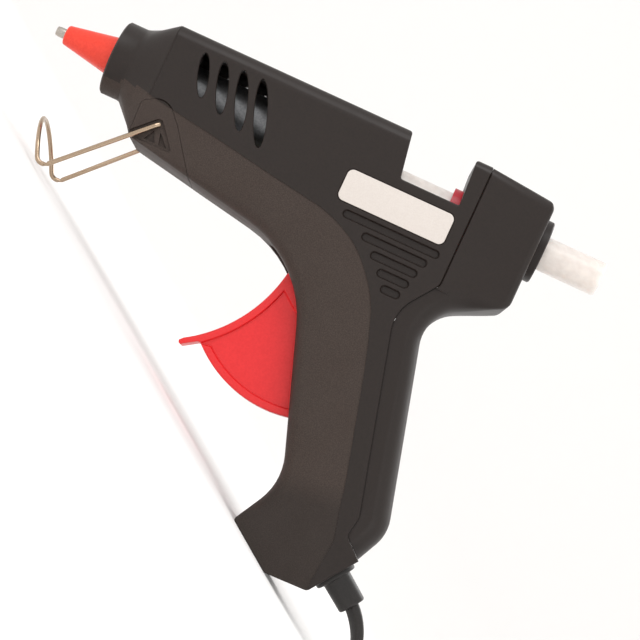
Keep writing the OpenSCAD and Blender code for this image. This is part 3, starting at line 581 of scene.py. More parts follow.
look = (CAMERA_LOOKS_AT - CAMERA_AT).normalized()
right = look.cross(CAMERA_UP).normalized()
eye = bpy.data.cameras.new("camera")
eye.lens, eye.sensor_width = LENS, SENSOR
eye.clip_end = 20
camera = bpy.data.objects.new("camera", eye)
turn = Matrix((right, right.cross(look), -look)).transposed().to_4x4()
camera.matrix_world = Matrix.Translation(CAMERA_AT) @ turn
bpy.context.scene.collection.objects.link(camera)
bpy.context.scene.camera = camera

# ---- Lead: gland to surface, six turns edge up, then over them to the plug ----

CORD_W, CORD_T = 5.4, 3.3
COIL_MID = (100, 12)
COIL_R = 27
COIL_LOW = 0.5
ROW_PITCH = CORD_T + 0.1
OUTER = COIL_R + ROW_PITCH
INNER = COIL_R - ROW_PITCH
COIL_TOP = COIL_LOW + 2 * CORD_W + 0.3
GLAND_ROW = (GUN @ Vector((GLAND[0], 0, GLAND[1]))) * 1000
OFF_SURFACE = 0.1
LAY_Z = CORD_T / 2 + OFF_SURFACE
OVER_FROM, OVER_TO, OVER_R = 280, 330, 18
OVER_MID = tuple(
    m + (COIL_R - OVER_R) * f(radians(OVER_TO)) for m, f in zip(COIL_MID, (cos, sin))
)
PLUG_REAR = (OVER_MID[0], OVER_MID[1] + OVER_R)
PLUG_W, PLUG_T, PLUG_NECK, PLUG_L, PIN_PITCH = 33, 13.7, 9, 26, 19
PLUG_Z = COIL_TOP + PLUG_T / 2


def rounded_way(points, radius, steps):
    """A way through points with rounded corners, as in the part's source."""
    way = [Vector(points[0])]
    for a, b, c in zip(points, points[1:], points[2:]):
        a, b, c = Vector(a), Vector(b), Vector(c)
        da, dc = (a - b).normalized(), (c - b).normalized()
        half = acos(da.dot(dc)) / 2
        cut = min(radius / tan(half), (a - b).length * 0.49, (c - b).length * 0.49)
        bow = cut * tan(half)
        mid = b + (da + dc).normalized() * bow / sin(half)
        e1 = (b + da * cut - mid).normalized()
        e2 = da.cross(dc).normalized().cross(e1)
        e2 *= 1 if (b + dc * cut - mid).dot(e2) > 0 else -1
        around = [(pi - 2 * half) * k / steps for k in range(steps + 1)]
        way += [mid + bow * (cos(turned) * e1 + sin(turned) * e2) for turned in around]
    return way + [Vector(points[-1])]


# Each turn is a plain circle up to this angle, and then steps to the next turn's radius
STEP_FROM = 290


def coil_point(angle):
    """Centre of the lead at an angle in degrees along the coil, from where it joins."""
    turn_no, part = divmod(angle, 360)
    radii = [OUTER, COIL_R, INNER, INNER, COIL_R, OUTER, OUTER]
    ease = eased(max(0.0, (part - STEP_FROM) / (360 - STEP_FROM)))
    t = int(turn_no)
    r = radii[t] + (radii[t + 1] - radii[t]) * ease
    level = 0 if t < 2 else ease if t == 2 else 1
    z = COIL_LOW + CORD_W / 2 + level * (CORD_W + 0.1)
    a = radians(angle - 90)
    return Vector((COIL_MID[0] + r * cos(a), COIL_MID[1] + r * sin(a), z))


first_way = rounded_way([
    (GLAND_ROW.x - 15, 0, GLAND_ROW.z), (GLAND_ROW.x + 16.5, 0, GLAND_ROW.z), (60, -1, LAY_Z),
    (81, COIL_MID[1] - OUTER, LAY_Z), (98, COIL_MID[1] - OUTER, LAY_Z),
], 23, 10)
TURNS_FROM, TURNS_TO, ANGLE_STEP = 30, 2130, 15
turns = [coil_point(a) for a in range(TURNS_FROM, TURNS_TO, ANGLE_STEP)]
over_z = COIL_TOP + CORD_T / 2


def on_circle(mid, r, angle, z):
    """A place on a level circle, at an angle in degrees."""
    return Vector((mid[0] + r * cos(radians(angle)), mid[1] + r * sin(radians(angle)), z))


over = [
    on_circle(COIL_MID, COIL_R, OVER_FROM + (OVER_TO - OVER_FROM) * k / 4, over_z) for k in range(5)
]
# The last of it rises to the plug, whose rear it meets straight on
MEETS_PLUG = 450
last = [
    on_circle(
        OVER_MID, OVER_R, a,
        over_z + (PLUG_Z - over_z) * eased((a - OVER_TO) / (MEETS_PLUG - OVER_TO)),
    )
    for a in range(OVER_TO + ANGLE_STEP, MEETS_PLUG + 1, ANGLE_STEP)
]
last.append(Vector((PLUG_REAR[0] - 2, PLUG_REAR[1], PLUG_Z)))
way = first_way + turns + over + last


def even(points, step):
    """A smooth way at even steps through points: Catmull-Rom between them, then resampled."""
    fine = []
    for i in range(len(points) - 1):
        p0, p1, p2, p3 = (points[max(0, min(len(points) - 1, i + k))] for k in (-1, 0, 1, 2))
        for k in range(6):
            t = k / 6
            fine.append(0.5 * (
                2 * p1 + (p2 - p0) * t + (2 * p0 - 5 * p1 + 4 * p2 - p3) * t * t
                + (3 * p1 - p0 - 3 * p2 + p3) * t**3
            ))
    fine.append(points[-1])
    along = [0.0]
    for a, b in zip(fine, fine[1:]):
        along.append(along[-1] + (b - a).length)
    count = round(along[-1] / step)
    out, j = [], 0
    for k in range(count + 1):
        s = along[-1] * k / count
        while j < len(fine) - 2 and along[j + 1] < s:
            j += 1
        span = max(1e-9, along[j + 1] - along[j])
        out.append(fine[j].lerp(fine[j + 1], min(1.0, (s - along[j]) / span)))
    return out, along[-1]


LEAD_STEP = 2.0
lead_way, lead_length = even(way, LEAD_STEP)


# How far the lead leans where it leaves, and the length that it takes to lie flat on the coil
LEAVES_AT, TO_FLAT = 42, 40
TOP_FROM = lead_length - sum(
    (b - a).length for a, b in zip(over + last, (over + last)[1:])
) - TO_FLAT


def lead_tilt(p, i):
    """Degrees that the lead's flat side leans over: part turned where it leaves, flat on the
    surface, on edge in the coil and flat again on top of it."""
    to_coil = smooth_between(p.x, 66, 98) if i < len(lead_way) / 2 else 1
    to_top = smooth_between(i * LEAD_STEP, TOP_FROM, TOP_FROM + TO_FLAT)
    leaving = 0
    if i < len(lead_way) / 4:
        leaving = 1 - smooth_between(p.x, GLAND_ROW.x + 12, GLAND_ROW.x + 34)
    return LEAVES_AT * leaving + 90 * to_coil * (1 - to_top)


for i, p in enumerate(lead_way):
    lean = radians(lead_tilt(p, i))
    half_high = CORD_T / 2 + (CORD_W - CORD_T) / 2 * abs(sin(lean))
    p.z = max(p.z, half_high + OFF_SURFACE)


def twin_section():
    """Outline of the flat twin lead: two round cores side by side with a groove between."""
    r, off = CORD_T / 2, (CORD_W - CORD_T) / 2
    section = []
    for side in (1, -1):
        for k in range(9):
            a = radians(-72 + 144 * k / 8)
            section.append((side * (off + r * cos(a)), side * r * sin(a)))
    return section


def sweep(points, section, tilt):
    """A closed tube along points, its section kept level and then leaned by tilt degrees."""
    rings = []
    for i, p in enumerate(points):
        ahead = (points[min(i + 1, len(points) - 1)] - points[max(i - 1, 0)]).normalized()
        side = ahead.cross(Vector((0, 0, 1))).normalized()
        up = side.cross(ahead)
        a = radians(tilt(p, i))
        x, y = side * cos(a) + up * sin(a), up * cos(a) - side * sin(a)
        rings.append([p + x * s + y * t for s, t in section])
    return skin(rings)


lead = thing("lead", sweep(lead_way, twin_section(), lead_tilt))
finish_piece(
    lead, "housing", [soft_pvc], ROW, ("cord_tube", "cord_coil", "plug_lead"), sharp=70
)

# Strain relief: an inner collar, a flange and a short sleeve that the lead comes out of
boot_collar = [
    (-5, 3.4), (-4.8, 3.8), (-4.6, 3.8), (-4.6, 4.8), (-4.4, 5), (-2.7, 5), (-2.6, 4.9), (-2.6, 3.8),
    (0.1, 3.8),
]
boot_flange = [(0.1, 6.5)] + arc(0.4, 6.5, 0.3, 180, 90, 3)[1:] + arc(1.3, 6.1, 0.7, 90, 0, 5)
boot_sleeve = [(2.0, 5.0), (2.15, 4.75), (2.5, 4.65), (11.0, 4.5)] + arc(11.2, 3.7, 0.8, 80, 0, 5)
boot_bore = [(12.0, 3.2), (11.8, 2.95), (11.3, 2.8), (-5, 2.8)]
boot = thing("cord_boot_moulding", lathe(
    [(GLAND_ROW.x + x, r) for x, r in boot_collar + boot_flange + boot_sleeve + boot_bore],
    64, v=GLAND_ROW.z, hollow=True,
))
finish_piece(boot, "housing", [soft_pvc], ROW, ("cord_boot",))

# Flat two-pin plug, lofted from its round neck to its wide body
PLUG_SQUARE = 2.9
# The plug is made pointing along X from its rear, then turned to point the other way
PLUG_PLACE = (
    ROW @ Matrix.Translation((*PLUG_REAR, 0)) @ Matrix.Rotation(pi, 4, "Z")
    @ Matrix.Translation((-PLUG_REAR[0], -PLUG_REAR[1], 0))
)


def plug_ring(x, wide, high, power, count=56):
    """A section of the plug at a length along it, square if power is high and round at 2."""
    ring = []
    for k in range(count):
        c, s = cos(2 * pi * k / count), sin(2 * pi * k / count)
        y = wide * abs(c) ** (2 / power) * (1 if c >= 0 else -1)
        z = high * abs(s) ** (2 / power) * (1 if s >= 0 else -1)
        ring.append((PLUG_REAR[0] + x, PLUG_REAR[1] + y, PLUG_Z + z))
    return ring


NECK = [(0, 3.3), (0.15, 3.8), (0.6, 4.2), (3.0, 4.35), (5.6, 4.7)]
NECK_R, SPREAD_FROM, SPREAD_L = 5, 6.6, 11.5
rings = [plug_ring(x, r, r, 2) for x, r in NECK]
for k in range(13):
    t = k / 12
    ease = eased(t)
    rings.append(plug_ring(
        SPREAD_FROM + SPREAD_L * t, NECK_R + (PLUG_W / 2 - NECK_R) * ease,
        NECK_R + (PLUG_T / 2 - NECK_R) * min(1, 1.6 * t) ** 0.8, 2 + (PLUG_SQUARE - 2) * ease,
    ))
end = PLUG_NECK + PLUG_L
rings += [
    plug_ring(x, PLUG_W / 2 - inward, PLUG_T / 2 - inward, PLUG_SQUARE) for x, inward in [
        (22, 0), (28, 0), (end - 1.2, 0), (end - 0.75, 0.1), (end - 0.35, 0.35), (end - 0.1, 0.75),
        (end, 1.2),
    ]
]
plug = thing("plug_moulding", skin(rings))
plug_bore = lathe([(PLUG_REAR[0] - 1, 2.9), (PLUG_REAR[0] + 2.2, 2.9)], 32, PLUG_REAR[1], PLUG_Z)
carve(plug, plug_bore)

# A pair of ribs, one for each flat face, sunk a little into it
PLUG_RIB_R, PLUG_RIB_HALF, PLUG_RIB_SUNK, PLUG_RIB_PITCH = 0.55, 7.0, 0.15, 2.2
rib_circle = [2 * pi * k / 12 for k in range(12)]
rib_pattern = thing("rib_pattern", joined([
    skin([
        [
            (
                PLUG_RIB_R * cos(a) * share, PLUG_RIB_HALF * along,
                PLUG_RIB_R * sin(a) * share + side * (PLUG_T / 2 - PLUG_RIB_SUNK),
            )
            for a in rib_circle
        ]
        for along, share in [(-1, 0.3), (-0.97, 0.8), (-0.92, 1), (0.92, 1), (0.97, 0.8), (1, 0.3)]
    ])
    for side in (-1, 1)
]))
plug = grow(plug, rib_tree, {
    "Rib": rib_pattern, "Rib Count": 5, "First Rib": (PLUG_REAR[0] + 20, PLUG_REAR[1], PLUG_Z),
    "Rib Pitch": (PLUG_RIB_PITCH, 0, 0), "Material": soft_pvc,
})
bpy.data.objects.remove(rib_pattern)
finish_piece(plug, "housing", [], PLUG_PLACE, ("plug_body",))

PIN_FROM = PLUG_REAR[0] + PLUG_NECK + PLUG_L
PIN_L, PIN_R, PIN_SLEEVE_L = 19, 2.0, 10
pin_shapes = [
    lathe(
        [(PIN_FROM - 2, 1.9), (PIN_FROM + PIN_SLEEVE_L, 1.9), (PIN_FROM + PIN_SLEEVE_L, PIN_R)]
        + arc(PIN_FROM + PIN_L - 1.4, PIN_R - 1.4, 1.4, 90, 10, 5),
        32, PLUG_REAR[1] + side * PIN_PITCH / 2, PLUG_Z,
    )
    for side in (-1, 1)
]
pins = thing("plug_pin_pair", joined(pin_shapes))
for face in pins.data.polygons:
    if face.center.x < PIN_FROM + PIN_SLEEVE_L - 0.1:
        face.material_index = 1
finish_piece(pins, "housing", [plated_brass, soft_pvc], PLUG_PLACE, ("plug_pins",))

# Strap round the turns, drawn close over them
STRAP_T, STRAP_W, STRAP_R, STRAP_GAP = 0.4, 5.0, 0.6, 0.05
strap_mid = COIL_MID[0] + COIL_R
coil_half, coil_high = (CORD_T * 3 + 0.2) / 2 + 0.35, 2 * CORD_W + 0.1
strap = []
for out in (0, STRAP_T):
    half, low, high = coil_half + out, -STRAP_GAP - out, coil_high + STRAP_GAP + out
    turn = rounded([
        (u, v, STRAP_R + out, 0) for u, v in [(-half, low), (half, low), (half, high), (-half, high)]
    ], 20)
    for y in (-STRAP_W / 2, STRAP_W / 2):
        strap.append([(strap_mid + u, COIL_MID[1] + y, COIL_LOW + v) for u, v, _ in turn])
tie = thing("coil_strap", skin([strap[0], strap[1], strap[3], strap[2]], closed=True))
finish_piece(tie, "housing", [soft_pvc], ROW, ("cord_tie",))

# ---- Body ----

BLOCK_TOP, BLOCK_LOW = TOP - 2.3, -22.2
SPINE_HIGH, SPINE_LOW = (BARREL_END + 27.4, -34), (BARREL_END + 45.8, -101.5)
# The whole body's outline: (u, v, corner radius, edge radius towards the sides)
BODY = [
    (FLARE_END, TOP, 0, 0.5), (BARREL_END, TOP, 1.5, 0.5), (BARREL_END + 2.8, SILL, 1, 0.5),
    (BLOCK_FRONT + 1, SILL, 0.8, 0.5), (BLOCK_FRONT, TOP, 1.2, 0.6), (SEAM - 0.3, TOP, 0, 0.6),
    (SEAM - 0.1, TOP - 0.4, 0, 0.6), (BLOCK_REAR, BLOCK_TOP, 3, 2), (BLOCK_REAR, BLOCK_LOW, 4, 2),
    (*SPINE_HIGH, 12, 2), (*SPINE_LOW, 13, 2),
    (136.9, -112.9, 1, 0.8), (126.4, -127.6, 2, 1.2), (112.0, -128.0, 1, 0.8), (BARREL_END, -117, 1.2, 1),
    (BARREL_END + 9, -100.5, 19, 5), (BARREL_END - 14.6, -34.8, 36, 5), (38, -26.7, 60, 2.6),
    (FLARE_END, -22.8, 0, 0.6),
]
# The rear block and the spine, which is round across its back down to its end; the part of
# this outline that lies ahead of the seam or under the foot is cut away
REAR_BODY = [
    (SEAM - 4, TOP - 0.07, 0.8, 0.6), (BLOCK_REAR, BLOCK_TOP, 3, 2), (BLOCK_REAR, BLOCK_LOW, 4, 2.5),
    (*SPINE_HIGH, 12, 9), (*SPINE_LOW, 13, 10.5),
    (126.5, -134.5, 13, 10.5), (95, -140, 13, 9), (95, -50, 13, 3), (SEAM - 6, -18, 10, 1),
]
BARREL_EDGE = 5
BLOCK_EDGE = 3.2
# What lies behind the side shells' rear seam, and the panel that carries the stand
BEHIND_SEAM = rounded([
    (136.9, -112.6, 0, 0), (130.6, -107, 2, 0), (131.7, -100.5, 4, 0),
    (BARREL_END + 18.3, -37.7, 13, 0), (SEAM, -24.6, 3, 0), (SEAM, 40, 0, 0),
    (187, 40, 0, 0), (187, -112.6, 0, 0),
])
STAND_PANEL = rounded([
    (15.6, -10.9, 2, 0), (22.8, -6.6, 6, 0), (29.2, -13.4, 5, 0), (39.3, -27.2, 0, 0),
    (39.3, -40, 0, 0), (0, -40, 0, 0), (16.2, -22.3, 0, 0),
])
# The grained part of the side shells
GRAINED = from_side([
    (7, -6.6), (17.5, -8.3), (40.8, -11.8), (65.9, -15.8), (80.1, -17.8), (85, -19.2), (88.4, -20.6),
    (91.5, -22.1), (94.4, -23.8), (98.4, -27.1), (103.1, -32.4), (105.8, -36.2), (108.2, -40.7),
    (111.4, -49.6), (114.1, -58.3), (119.9, -79.6), (123.0, -91.2), (125.0, -100.3), (127.5, -110),
    (125, -140), (60, -140), (60, -60), (0, -60), (0, -10),
])
GRAIN_STEP = 0.25
GAP = 0.12


def inset_corners(corners, by):
    """Corners moved in by a length, their radii with them, for an outline that runs clockwise."""
    moved = []
    for i, (u, v, r, edge) in enumerate(corners):
        d1, d2 = unit(corners[i - 1], (u, v)), unit((u, v), corners[(i + 1) % len(corners)])
        n1, n2 = (d1[1], -d1[0]), (d2[1], -d2[0])
        w = by / (1 + n1[0] * n2[0] + n1[1] * n2[1])
        convex = d1[0] * d2[1] - d1[1] * d2[0] < 0
        radius = max(0, r - by) if convex else r + by
        shift = w * (n1[0] + n2[0]), w * (n1[1] + n2[1])
        moved.append((u + shift[0], v + shift[1], radius, max(0.2, edge - by)))
    return moved


FAR_BELOW = -200


def section_ring(u, half_w, top, r):
    """A cross-section of the body, open far below, with its two top edges rounded."""
    ring = [(u, -half_w - 5, FAR_BELOW)]
    for side in (-1, 1):
        angles = [pi / 2 * k / 10 for k in range(11)]
        for a in angles if side < 0 else reversed(angles):
            ring.append((u, side * (half_w - r + r * cos(a)), top - r + r * sin(a)))
    return ring + [(u, half_w + 5, FAR_BELOW)]


def top_edges(half_w, grow=0.0):
    """What is left of the body once its top edges are rounded along the barrel."""
    stops = [
        (FLARE_END - 5, TOP, BARREL_EDGE), (BLOCK_FRONT - 8, TOP, BARREL_EDGE),
        (BLOCK_FRONT - 7, TOP, BLOCK_EDGE), (SEAM, TOP, BLOCK_EDGE),
        (BLOCK_REAR + 4, TOP - 2.7, BLOCK_EDGE),
    ]
    return skin([section_ring(u, half_w, top + grow, r + grow) for u, top, r in stops])


body = thing("body", slab(rounded(BODY), HALF_W))
rear = thing("rear_block_and_spine", slab(rounded(REAR_BODY), HALF_W))
for solid in (body, rear):
    carve(solid, top_edges(HALF_W), "INTERSECT")

NOSE_ANGLES = [2 * pi * k / 96 for k in range(96)]
BARREL_LOW, LOW_EDGE = -22.7, 0.8


def flare_ring(grow):
    """The barrel's rounded section, its points at a circle's angles seen from the axis."""
    ring = []
    for a in NOSE_ANGLES:
        dy, dv = sin(a), cos(a)
        near, far = 0.0, 60.0
        for _ in range(30):
            reach = (near + far) / 2
            y, v = abs(dy * reach), dv * reach
            r, edge = (BARREL_EDGE, TOP) if v > 0 else (LOW_EDGE, -BARREL_LOW)
            over_y, over_v = y - (HALF_W - r), abs(v) - (edge - r)
            outside = (
                y > HALF_W or abs(v) > edge
                or (over_y > 0 and over_v > 0 and over_y**2 + over_v**2 > r * r)
            )
            near, far = (near, reach) if outside else (reach, far)
        ring.append((dy * (reach + grow), dv * (reach + grow)))
    return ring


def collar_ring(r):
    """A round section of the collar."""
    return [(r * sin(a), r * cos(a)) for a in NOSE_ANGLES]


def nose(grow):
    """The collar and the flare from it to the barrel, grown outwards by a length."""
    square, r = flare_ring(grow), COLLAR_R + grow
    front, lip = (0.0, 0.5) if grow == 0 else (2.5, 2.6)
    flare_from = collar_ring(r + 0.25)
    stops = [
        (front, collar_ring(r - 0.5)), (lip, collar_ring(r)),
        (COLLAR_L - 0.4, collar_ring(r)), (COLLAR_L + 0.5, flare_from),
    ]
    for k in range(1, 9):
        t = k / 8
        stops.append((
            COLLAR_L + 0.5 + (FLARE_END - COLLAR_L - 0.8) * t,
            [(a[0] + (b[0] - a[0]) * t, a[1] + (b[1] - a[1]) * t) for a, b in zip(flare_from, square)],
        ))
    stops.append((FLARE_END + 3, [(y * 0.93, v * 0.93) for y, v in square]))
    return skin([[(u, y, v) for y, v in ring] for u, ring in stops])


RING_R = 10.4
carve(body, nose(0), "UNION")
carve(rear, lathe([(BLOCK_REAR - 1, RING_R), (RING_REAR - 0.4, RING_R), (RING_REAR, 10.0)]), "UNION")
hollow_corners = [
    (FLARE_END - WALL - 1, *c[1:]) if c[0] == FLARE_END else c for c in BODY if abs(c[0] - SEAM) > 1
]
for solid, corners in ((body, hollow_corners), (rear, REAR_BODY)):
    hollow = thing("hollow", slab(rounded(inset_corners(corners, WALL)), HALF_W - WALL, 3))
    carve(hollow, top_edges(HALF_W - WALL, -WALL), "INTERSECT")
    carve(solid, taken(hollow))
carve(body, nose(-WALL))
carve(body, lathe([(-2, 6.6), (4, 6.6)], 48))
BORE_R, BORE_MOUTH_R, WINDOW_R = STICK_R + 0.5, STICK_R + 1.3, 7.9
STICK_BORE = [
    (BARREL_END - 7, BORE_R), (RING_REAR - 0.6, BORE_R), (RING_REAR + 0.1, BORE_MOUTH_R),
    (RING_REAR + 3, BORE_MOUTH_R),
]
WINDOW_BORE = [(BARREL_END + 1.2, WINDOW_R), (BLOCK_FRONT + 10.3, WINDOW_R)]
for solid in (body, rear):
    carve(solid, lathe(STICK_BORE, 48))
    carve(solid, lathe(WINDOW_BORE, 48))


def prism_one(points, side, depth, bevel=0.0, half_w=HALF_W):
    """An outline cut into one side face to a depth, its rim bevelled."""
    stops = [
        (half_w + PROUD, bevel + PROUD), (half_w - bevel, 0),
        (half_w - depth, -bevel if depth < WALL else 0),
    ]
    rings = []
    for y, grow_by in stops:
        ring = inset([(*p[:2], 0) for p in points], -grow_by) if grow_by else points
        rings.append([(q[0], side * y, q[1]) for q in ring])
    return skin(rings)


def both_sides(points, depth, bevel):
    """An outline cut into both side faces, with a bevelled rim."""
    return [prism_one(points, side, depth, bevel) for side in (-1, 1)]


def leaf(middle, lean, length, width, steps=36):
    """Outline of a long ellipse that leans from upright, in degrees."""
    along = (sin(radians(lean)), -cos(radians(lean)))
    points = []
    for k in range(steps):
        a = 2 * pi * k / steps
        s, w = length / 2 * cos(a), width / 2 * sin(a)
        points.append((
            middle[0] + along[0] * s - along[1] * w, middle[1] + along[1] * s + along[0] * w, 0
        ))
    return points


vent_outlines = []
for i in range(4):
    lean, length = 18.5 + 0.7 * i, 14.2 + 2.5 * i
    reach = (length - 3) / 2
    middle = (28.0 + 6.6 * i + reach * sin(radians(lean)), 9.6 - reach * cos(radians(lean)))
    vent_outlines.append(leaf(middle, lean, length, 3.5 + 0.22 * i))
# The grooves' two ends along the barrel, from its end
GROOVES = [(-9, 23.7), (-0.7, 21.3), (4.2, 19.9), (8.3, 18.9), (11.4, 17.8)]
GROOVE_R, GROOVE_TOP, GROOVE_PITCH, GROOVE_DEPTH = 1.25, -16.4, 4.15, 1.0
groove_outlines = []
for i, (a, b) in enumerate(GROOVES):
    v = GROOVE_TOP - GROOVE_PITCH * i
    groove_outlines.append(capsule(
        (BARREL_END + a + GROOVE_R, v), (BARREL_END + b - GROOVE_R, v), GROOVE_R
    ))
tp = TRIGGER_PIN
slot_side = from_side([
    (tp[0] - 40, tp[1] + 12), (tp[0] - 8, tp[1] + 8), (tp[0] + 4, tp[1] - 2), (tp[0] + 20, tp[1] - 36),
    (tp[0] + 10, tp[1] - 41), (tp[0] - 40, tp[1] - 41),
])

RIM_BEVEL = 0.25
shapes = []
for one in vent_outlines:
    shapes += both_sides(one, WALL + 1, RIM_BEVEL)
for one in groove_outlines:
    shapes += both_sides(one, GROOVE_DEPTH, RIM_BEVEL)
carve(body, joined(shapes))
carve(body, joined([prism_one(GRAINED, side, GRAIN_STEP) for side in (-1, 1)]))
LABEL_FRONT, LABEL_REAR, LABEL_TOP, LABEL_LOW, LABEL_R = (
    BARREL_END - 12.9, BARREL_END + 23.3, -2.9, -13.2, 2
)
LABEL = rounded([
    (LABEL_FRONT, LABEL_TOP, LABEL_R, 0), (LABEL_REAR, LABEL_TOP, LABEL_R, 0),
    (LABEL_REAR, LABEL_LOW, LABEL_R, 0), (LABEL_FRONT, LABEL_LOW, LABEL_R, 0),
])
LABEL_SEAT, LABEL_GAP = 0.3, 0.3
carve(body, prism_one(inset(LABEL, -LABEL_GAP), -1, LABEL_SEAT, 0.1))
SLOT_HALF, SLOT_R = 7.5, 40.2
trigger_slot = thing("trigger_slot", prism(slot_side, -SLOT_HALF, SLOT_HALF))
carve(trigger_slot, prism(circle(tp, SLOT_R, 96), -9, 9), "INTERSECT")
carve(body, taken(trigger_slot))
GLAND_R = 3.9
gland_bore = bmesh.new()
bmesh.ops.create_cone(
    gland_bore, segments=32, radius1=GLAND_R, radius2=GLAND_R, depth=30, cap_ends=True
)
gland_bore.transform(
    Matrix.Translation((GLAND[0], 0, GLAND[1])) @ Matrix.Rotation(pi / 2 + NOSE_DOWN, 4, "Y")
)
carve(body, gland_bore)

OUT = HALF_W + PROUD
carve(rear, prism(inset(BEHIND_SEAM, GAP), -OUT, OUT, -0.3), "INTERSECT")
# The spine is narrower than the block above it
SPINE_HALF = HALF_W - 0.9
spine_side = from_side([(80, -26), (200, -26), (200, -150), (80, -150)])
carve(rear, joined([
    prism(spine_side, SPINE_HALF, HALF_W + 5), prism(spine_side, -HALF_W - 5, -SPINE_HALF)
]))
panel = copy_of(body, "stand_panel")
carve(panel, prism(inset(STAND_PANEL, GAP), -OUT, OUT, -0.25), "INTERSECT")
carve(body, joined([prism(BEHIND_SEAM, -OUT, OUT, 0.3), prism(STAND_PANEL, -OUT, OUT, 0.25)]))

# The stand's legs swing in a recess with ribs across it
sp = STAND_PIVOT


def from_pivot(points):
    """An outline from points measured from the stand's pivot."""
    return from_side([(sp[0] + u, sp[1] + v) for u, v in points])


recess = from_pivot([
    (-1.4, 1.2), (-0.6, 1.9), (0.8, 1.9), (1.8, 0.8), (7.0, -5.6), (6.4, -6.6), (-7.6, -6.6),
    (-8.2, -5.6),
])
pockets = [
    from_pivot([(1.6, -1.6), (5.6, -5.6), (2.6, -5.6)]),
    from_pivot([(-0.4, -1.8), (1.4, -5.6), (-2.4, -5.6)]),
]
POCKET_DEPTH, WIRE_BORE_R = 1.9, 0.8
carve(panel, joined(both_sides(recess, STAND_RECESS, 0.15)))
carve(panel, joined([prism_one(one, side, POCKET_DEPTH, 0.1) for one in pockets for side in (-1, 1)]))
wire_bore = capsule(sp, (sp[0] + 0.01, sp[1]), WIRE_BORE_R)
carve(panel, joined([prism(wire_bore, side * 9.5, side * 17.5) for side in (-1, 1)]))

# Screws go in from the right, through sunk holes into bosses
SCREWS = [(21.5, 12.2), (76, 12.2), (66, -24.5), (116, -30), (110, -104), (108, -118)]
HEAD_R, HEAD_SINK, SHANK_R, BOSS_R = 2.4, 2.6, 1.3, 3.1
right_half = from_side([(-50, -200), (250, -200), (250, 60), (-50, 60)])
left = copy_of(body, "left_shell")
right = body
right.name = "right_shell"
carve(left, prism(right_half, -40, -GAP / 2), "INTERSECT")
carve(right, prism(right_half, GAP / 2, 40), "INTERSECT")
boss_end = HALF_W - WALL + 0.2
carve(left, joined([prism(circle(p, BOSS_R, 24), -boss_end, -GAP / 2) for p in SCREWS]), "UNION")
carve(right, joined([prism(circle(p, BOSS_R, 24), GAP / 2, boss_end) for p in SCREWS]), "UNION")
carve(right, joined(
    [prism_one(circle(p, HEAD_R + 0.3), 1, HEAD_SINK, 0.2) for p in SCREWS]
    + [prism(circle(p, SHANK_R + 0.1, 16), 7, HALF_W - HEAD_SINK + 0.5) for p in SCREWS]
))


def in_outline(u, v, points):
    """True if a place lies inside an outline in the u, v plane."""
    inside = False
    for a, b in zip(points, points[1:] + points[:1]):
        crosses = (a[1] > v) != (b[1] > v)
        if crosses and u < (b[0] - a[0]) * (v - a[1]) / (b[1] - a[1]) + a[0]:
            inside = not inside
    return inside


def paint_grain(obj):
    """The grained finish on the faces inside GRAINED, for a piece still in the gun frame."""
    for face in obj.data.polygons:
        if in_outline(face.center.x, face.center.z, GRAINED):
            face.material_index = 1


for shell in (left, right, panel):
    paint_grain(shell)
for shell, node in ((left, "left_housing"), (right, "right_housing"), (panel, "stand_block")):
    finish_piece(shell, "housing", [satin_abs, grained_abs], GUN, (node,))
finish_piece(rear, "housing", [satin_abs], GUN, ("rear_housing",))

# ---- Nose ----

# Hot-metal nozzle: a short straight tip, a cone under the sleeve and a shank in the chamber
SLEEVE_L, TIP_R, TIP_BORE_R, SHANK, BALL_BORE_R = 17.5, 1.65, 0.8, 3.9, 1.9
tip = [(-20.7, 0.95)] + arc(-20.4, 1.25, 0.3, 180, 130, 3) + [
    (-20.1, 1.55), (-19.7, TIP_R), (-17.2, TIP_R),
]
cone_and_shank = [
    (-17.1, 1.95), (-0.1, SHANK), (1.2, SHANK), (1.3, 5), (4.9, 5), (5, SHANK), (9.8, SHANK), (10, 3.7),
]
nozzle_bore = [(10, BALL_BORE_R), (-10, BALL_BORE_R), (-11.5, TIP_BORE_R), (-20.55, TIP_BORE_R)]
nozzle = thing("nozzle_turning", lathe(tip + cone_and_shank + nozzle_bore, 64, hollow=True))
finish_piece(nozzle, "housing", [turned_steel], GUN, ("nozzle",), sharp=40)

# Silicone sleeve over it, with a soft front lip and a rim held behind the collar
LIP_L, LIP_R, SLEEVE_R = 1.1, 3.36, 6.5
lip = [(-SLEEVE_L, 1.85), (-SLEEVE_L, 2.4)] + arc(-SLEEVE_L + 0.75, 2.55, 0.75, 170, 105, 6)
cone = [
    (-SLEEVE_L + LIP_L + (SLEEVE_L - LIP_L) * k / 8, LIP_R + (SLEEVE_R - LIP_R) * k / 8)
    for k in range(9)
]
rim = [(2.8, SLEEVE_R), (2.8, 8.5), (3.0, 8.7), (4.6, 8.7), (4.8, 8.5)]
sleeve_bore = [(4.8, 5.1), (1.1, 5.1), (1.1, 4.0), (0, 4.0), (-17.0, 2.05), (-17.1, 1.8)]
sleeve = thing("nozzle_sleeve_moulding", lathe(lip + cone + rim + sleeve_bore, 96, hollow=True))
finish_piece(sleeve, "housing", [red_silicone], GUN, ("nozzle_sleeve",), sharp=40)

# ---- Wire stand: one bent wire, its ends turned into the stand panel ----

